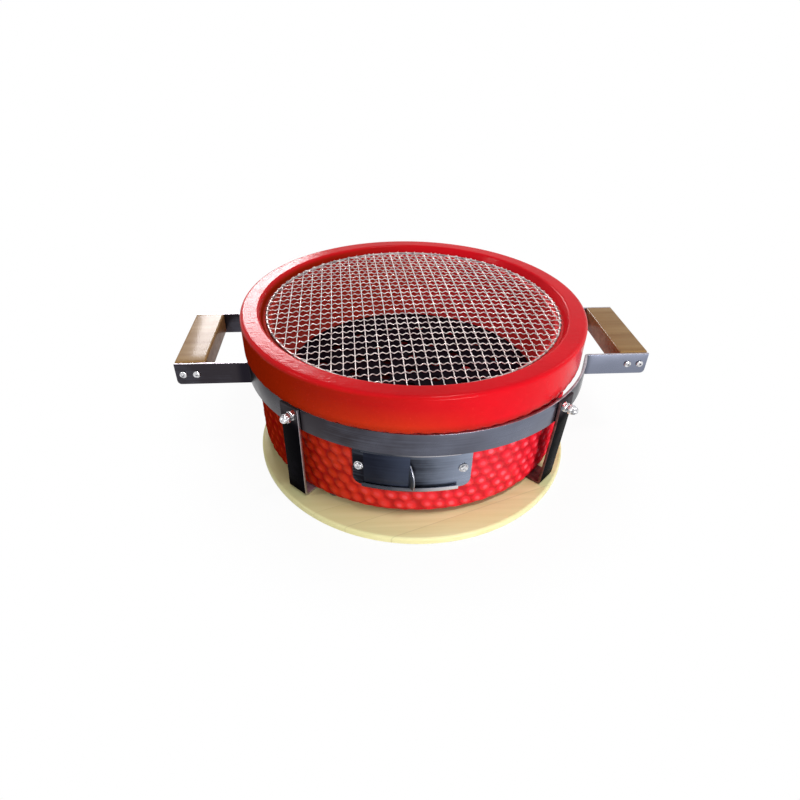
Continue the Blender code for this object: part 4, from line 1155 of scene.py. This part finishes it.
def build_air_slide(bright):
    # The sheets' dark and light colours are the ends of a painted reflection, dark on the left.
    stretch = (14.0, 14.0, 500.0)
    sheet = steel_material("slide_sheet", (0.006, 0.006, 0.01), (0.31, 0.36, 0.47), stretch,
                           (-0.045, 0.07))
    door_sheet = steel_material("door_sheet", (0.012, 0.014, 0.024), (0.05, 0.062, 0.098), stretch,
                                (-0.06, -0.01))
    rail_sheet = steel_material("rail_sheet", (0.04, 0.045, 0.06), (0.66, 0.64, 0.68), stretch,
                                (-0.045, 0.04))
    cut_edge = wire_material("cut_edge", (0.26, 0.27, 0.32), (0.5, 0.51, 0.56), 0.3)
    add_piece("slide_plate", vent_plate_mesh(), sheet, "grill", "slide_sheet", "vent_plate")
    for name, edge, step in (("lower", VENT_LOW, 1.0), ("upper", VENT_HIGH, -1.0)):
        rail = add_piece(f"slide_rail_{name}", rail_mesh(edge, step), rail_sheet, "grill", "slide_sheet",
                         "vent_plate")
        recolour_facing(rail.data, cut_edge, UP, 0.9, edge + step * RAIL_LIP + 0.001)
    add_piece("slide_door", door_mesh(), door_sheet, "air_door", "slide_sheet", "vent_door")
    tab = add_piece("slide_door_tab", tab_mesh(), door_sheet, "air_door", "slide_sheet", "vent_door")
    recolour_facing(tab.data, cut_edge, outward(DOOR_TO + TAB_LEAN), 0.8)
    bolt = vent_bolt_mesh()
    for name, angle in zip(("left", "right"), VENT_BOLT_ANGLES):
        mesh = place(bolt.copy(), radial_matrix(angle, PLATE_OUTER, VENT_MIDDLE))
        add_piece(f"slide_bolt_{name}", mesh, bright, "grill", "bright_fasteners", f"vent_bolt_{name}")


# Studio

def seen_rays(m):
    """1 for rays of the camera, of reflections and through glass, 0 for the rest."""
    rays = m.node("LightPath").outputs
    seen = m.larger(rays["Is Camera Ray"], rays["Is Transmission Ray"])
    return m.larger(seen, rays["Is Glossy Ray"])


def build_floor():
    """Pale ground. The camera and reflections see it white, apart from a soft shadow near the board."""
    s = 6.0
    mesh = bpy.data.meshes.new("floor")
    mesh.from_pydata([(-s, -s, 0), (s, -s, 0), (s, s, 0), (-s, s, 0)], [], [(0, 1, 2, 3)])
    m = new_material("pale_floor")
    m.set("Base Color", (0.86, 0.86, 0.86))
    m.set("Roughness", 0.9)
    m.set("Specular IOR Level", 0.0)
    white = m.ease(m.length(m.point()), 0.22, 0.34, 0.93, 1.0)
    glow = m.node("Emission", {"Color": (1.0, 1.0, 1.0), "Strength": 1.0})
    both = m.node("MixShader", {0: m.times(white, seen_rays(m)), 1: m.shader.outputs["BSDF"],
                                2: glow.outputs["Emission"]})
    m.feed(m.tree.nodes["Material Output"].inputs["Surface"], both.outputs["Shader"])
    mesh.materials.append(m.owner)
    new_object("floor", mesh)


def add_lamp(name, place_at, aim, size, power, colour):
    data = bpy.data.lights.new(name, "AREA")
    data.shape = "RECTANGLE"
    data.size, data.size_y = size
    data.energy = power
    data.color = colour
    lamp = new_object(name, data)
    lamp.location = place_at
    lamp.rotation_euler = (Vector(aim) - Vector(place_at)).to_track_quat("-Z", "Y").to_euler()


def build_world():
    bpy.context.scene.world = bpy.data.worlds.new("studio")
    m = Nodes(bpy.context.scene.world)
    m.set("Color", (1.0, 1.0, 1.0))
    m.set("Strength", m.spread(seen_rays(m), 0.0, 1.0, 0.3, 1.0))


def place_camera():
    """Perspective fitted to the outline: azimuth, elevation and roll in degrees, distance in metres.

    focal, across and down are in pixels of the picture, which is twice half a side."""
    azimuth, elevation, roll = (radians(a) for a in (4.93, 35.45, 1.27))
    distance, focal, target = 0.73413, 567.62, Vector((0.0, 0.0, 0.06))
    across, down, half = 410.81, 379.07, 400.0
    right = Vector((cos(azimuth), -sin(azimuth), 0.0))
    level = Vector((sin(azimuth), cos(azimuth), 0.0))
    ahead = level * cos(elevation) - UP * sin(elevation)
    up = level * sin(elevation) + UP * cos(elevation)
    right_rolled = right * cos(roll) + up * sin(roll)
    up_rolled = up * cos(roll) - right * sin(roll)
    where = target - ahead * distance - right_rolled * (across - half) / focal * distance
    where += up_rolled * (down - half) / focal * distance
    data = bpy.data.cameras.new("camera")
    data.sensor_width = 36.0
    data.lens = focal / (2 * half) * data.sensor_width
    data.clip_start = 0.01
    camera = new_object("camera", data)
    camera.matrix_world = axes_matrix(right_rolled, up_rolled, -ahead, where)
    bpy.context.scene.camera = camera


def build_studio():
    build_floor()
    build_world()
    add_lamp("lamp_front_right", (0.62, -1.7, 0.22), (0.0, 0.0, 0.1), (0.6, 0.34), 21.0, (1.0, 0.97, 0.97))
    add_lamp("lamp_above", (0.4, -0.5, 1.9), (0.0, -0.05, 0.0), (0.5, 0.16), 14.0, (1.0, 1.0, 1.0))
    add_lamp("lamp_window", (-0.55, 1.8, 1.0), (-0.1, 0.05, 0.17), (0.55, 0.5), 22.0, (1.0, 0.98, 1.0))
    add_lamp("lamp_right", (1.3, 0.35, 0.9), (0.0, 0.0, 0.15), (0.12, 0.7), 2.0, (0.97, 0.98, 1.0))
    add_lamp("lamp_left", (-1.3, -0.35, 0.75), (-0.1, -0.15, 0.15), (0.12, 0.12), 3.0, (1.0, 0.97, 0.95))
    place_camera()
    bpy.context.scene.view_settings.view_transform = "Standard"


build_bowl()
build_board()
bright_steel = build_frame()
build_handles(bright_steel)
build_air_slide(bright_steel)
build_studio()
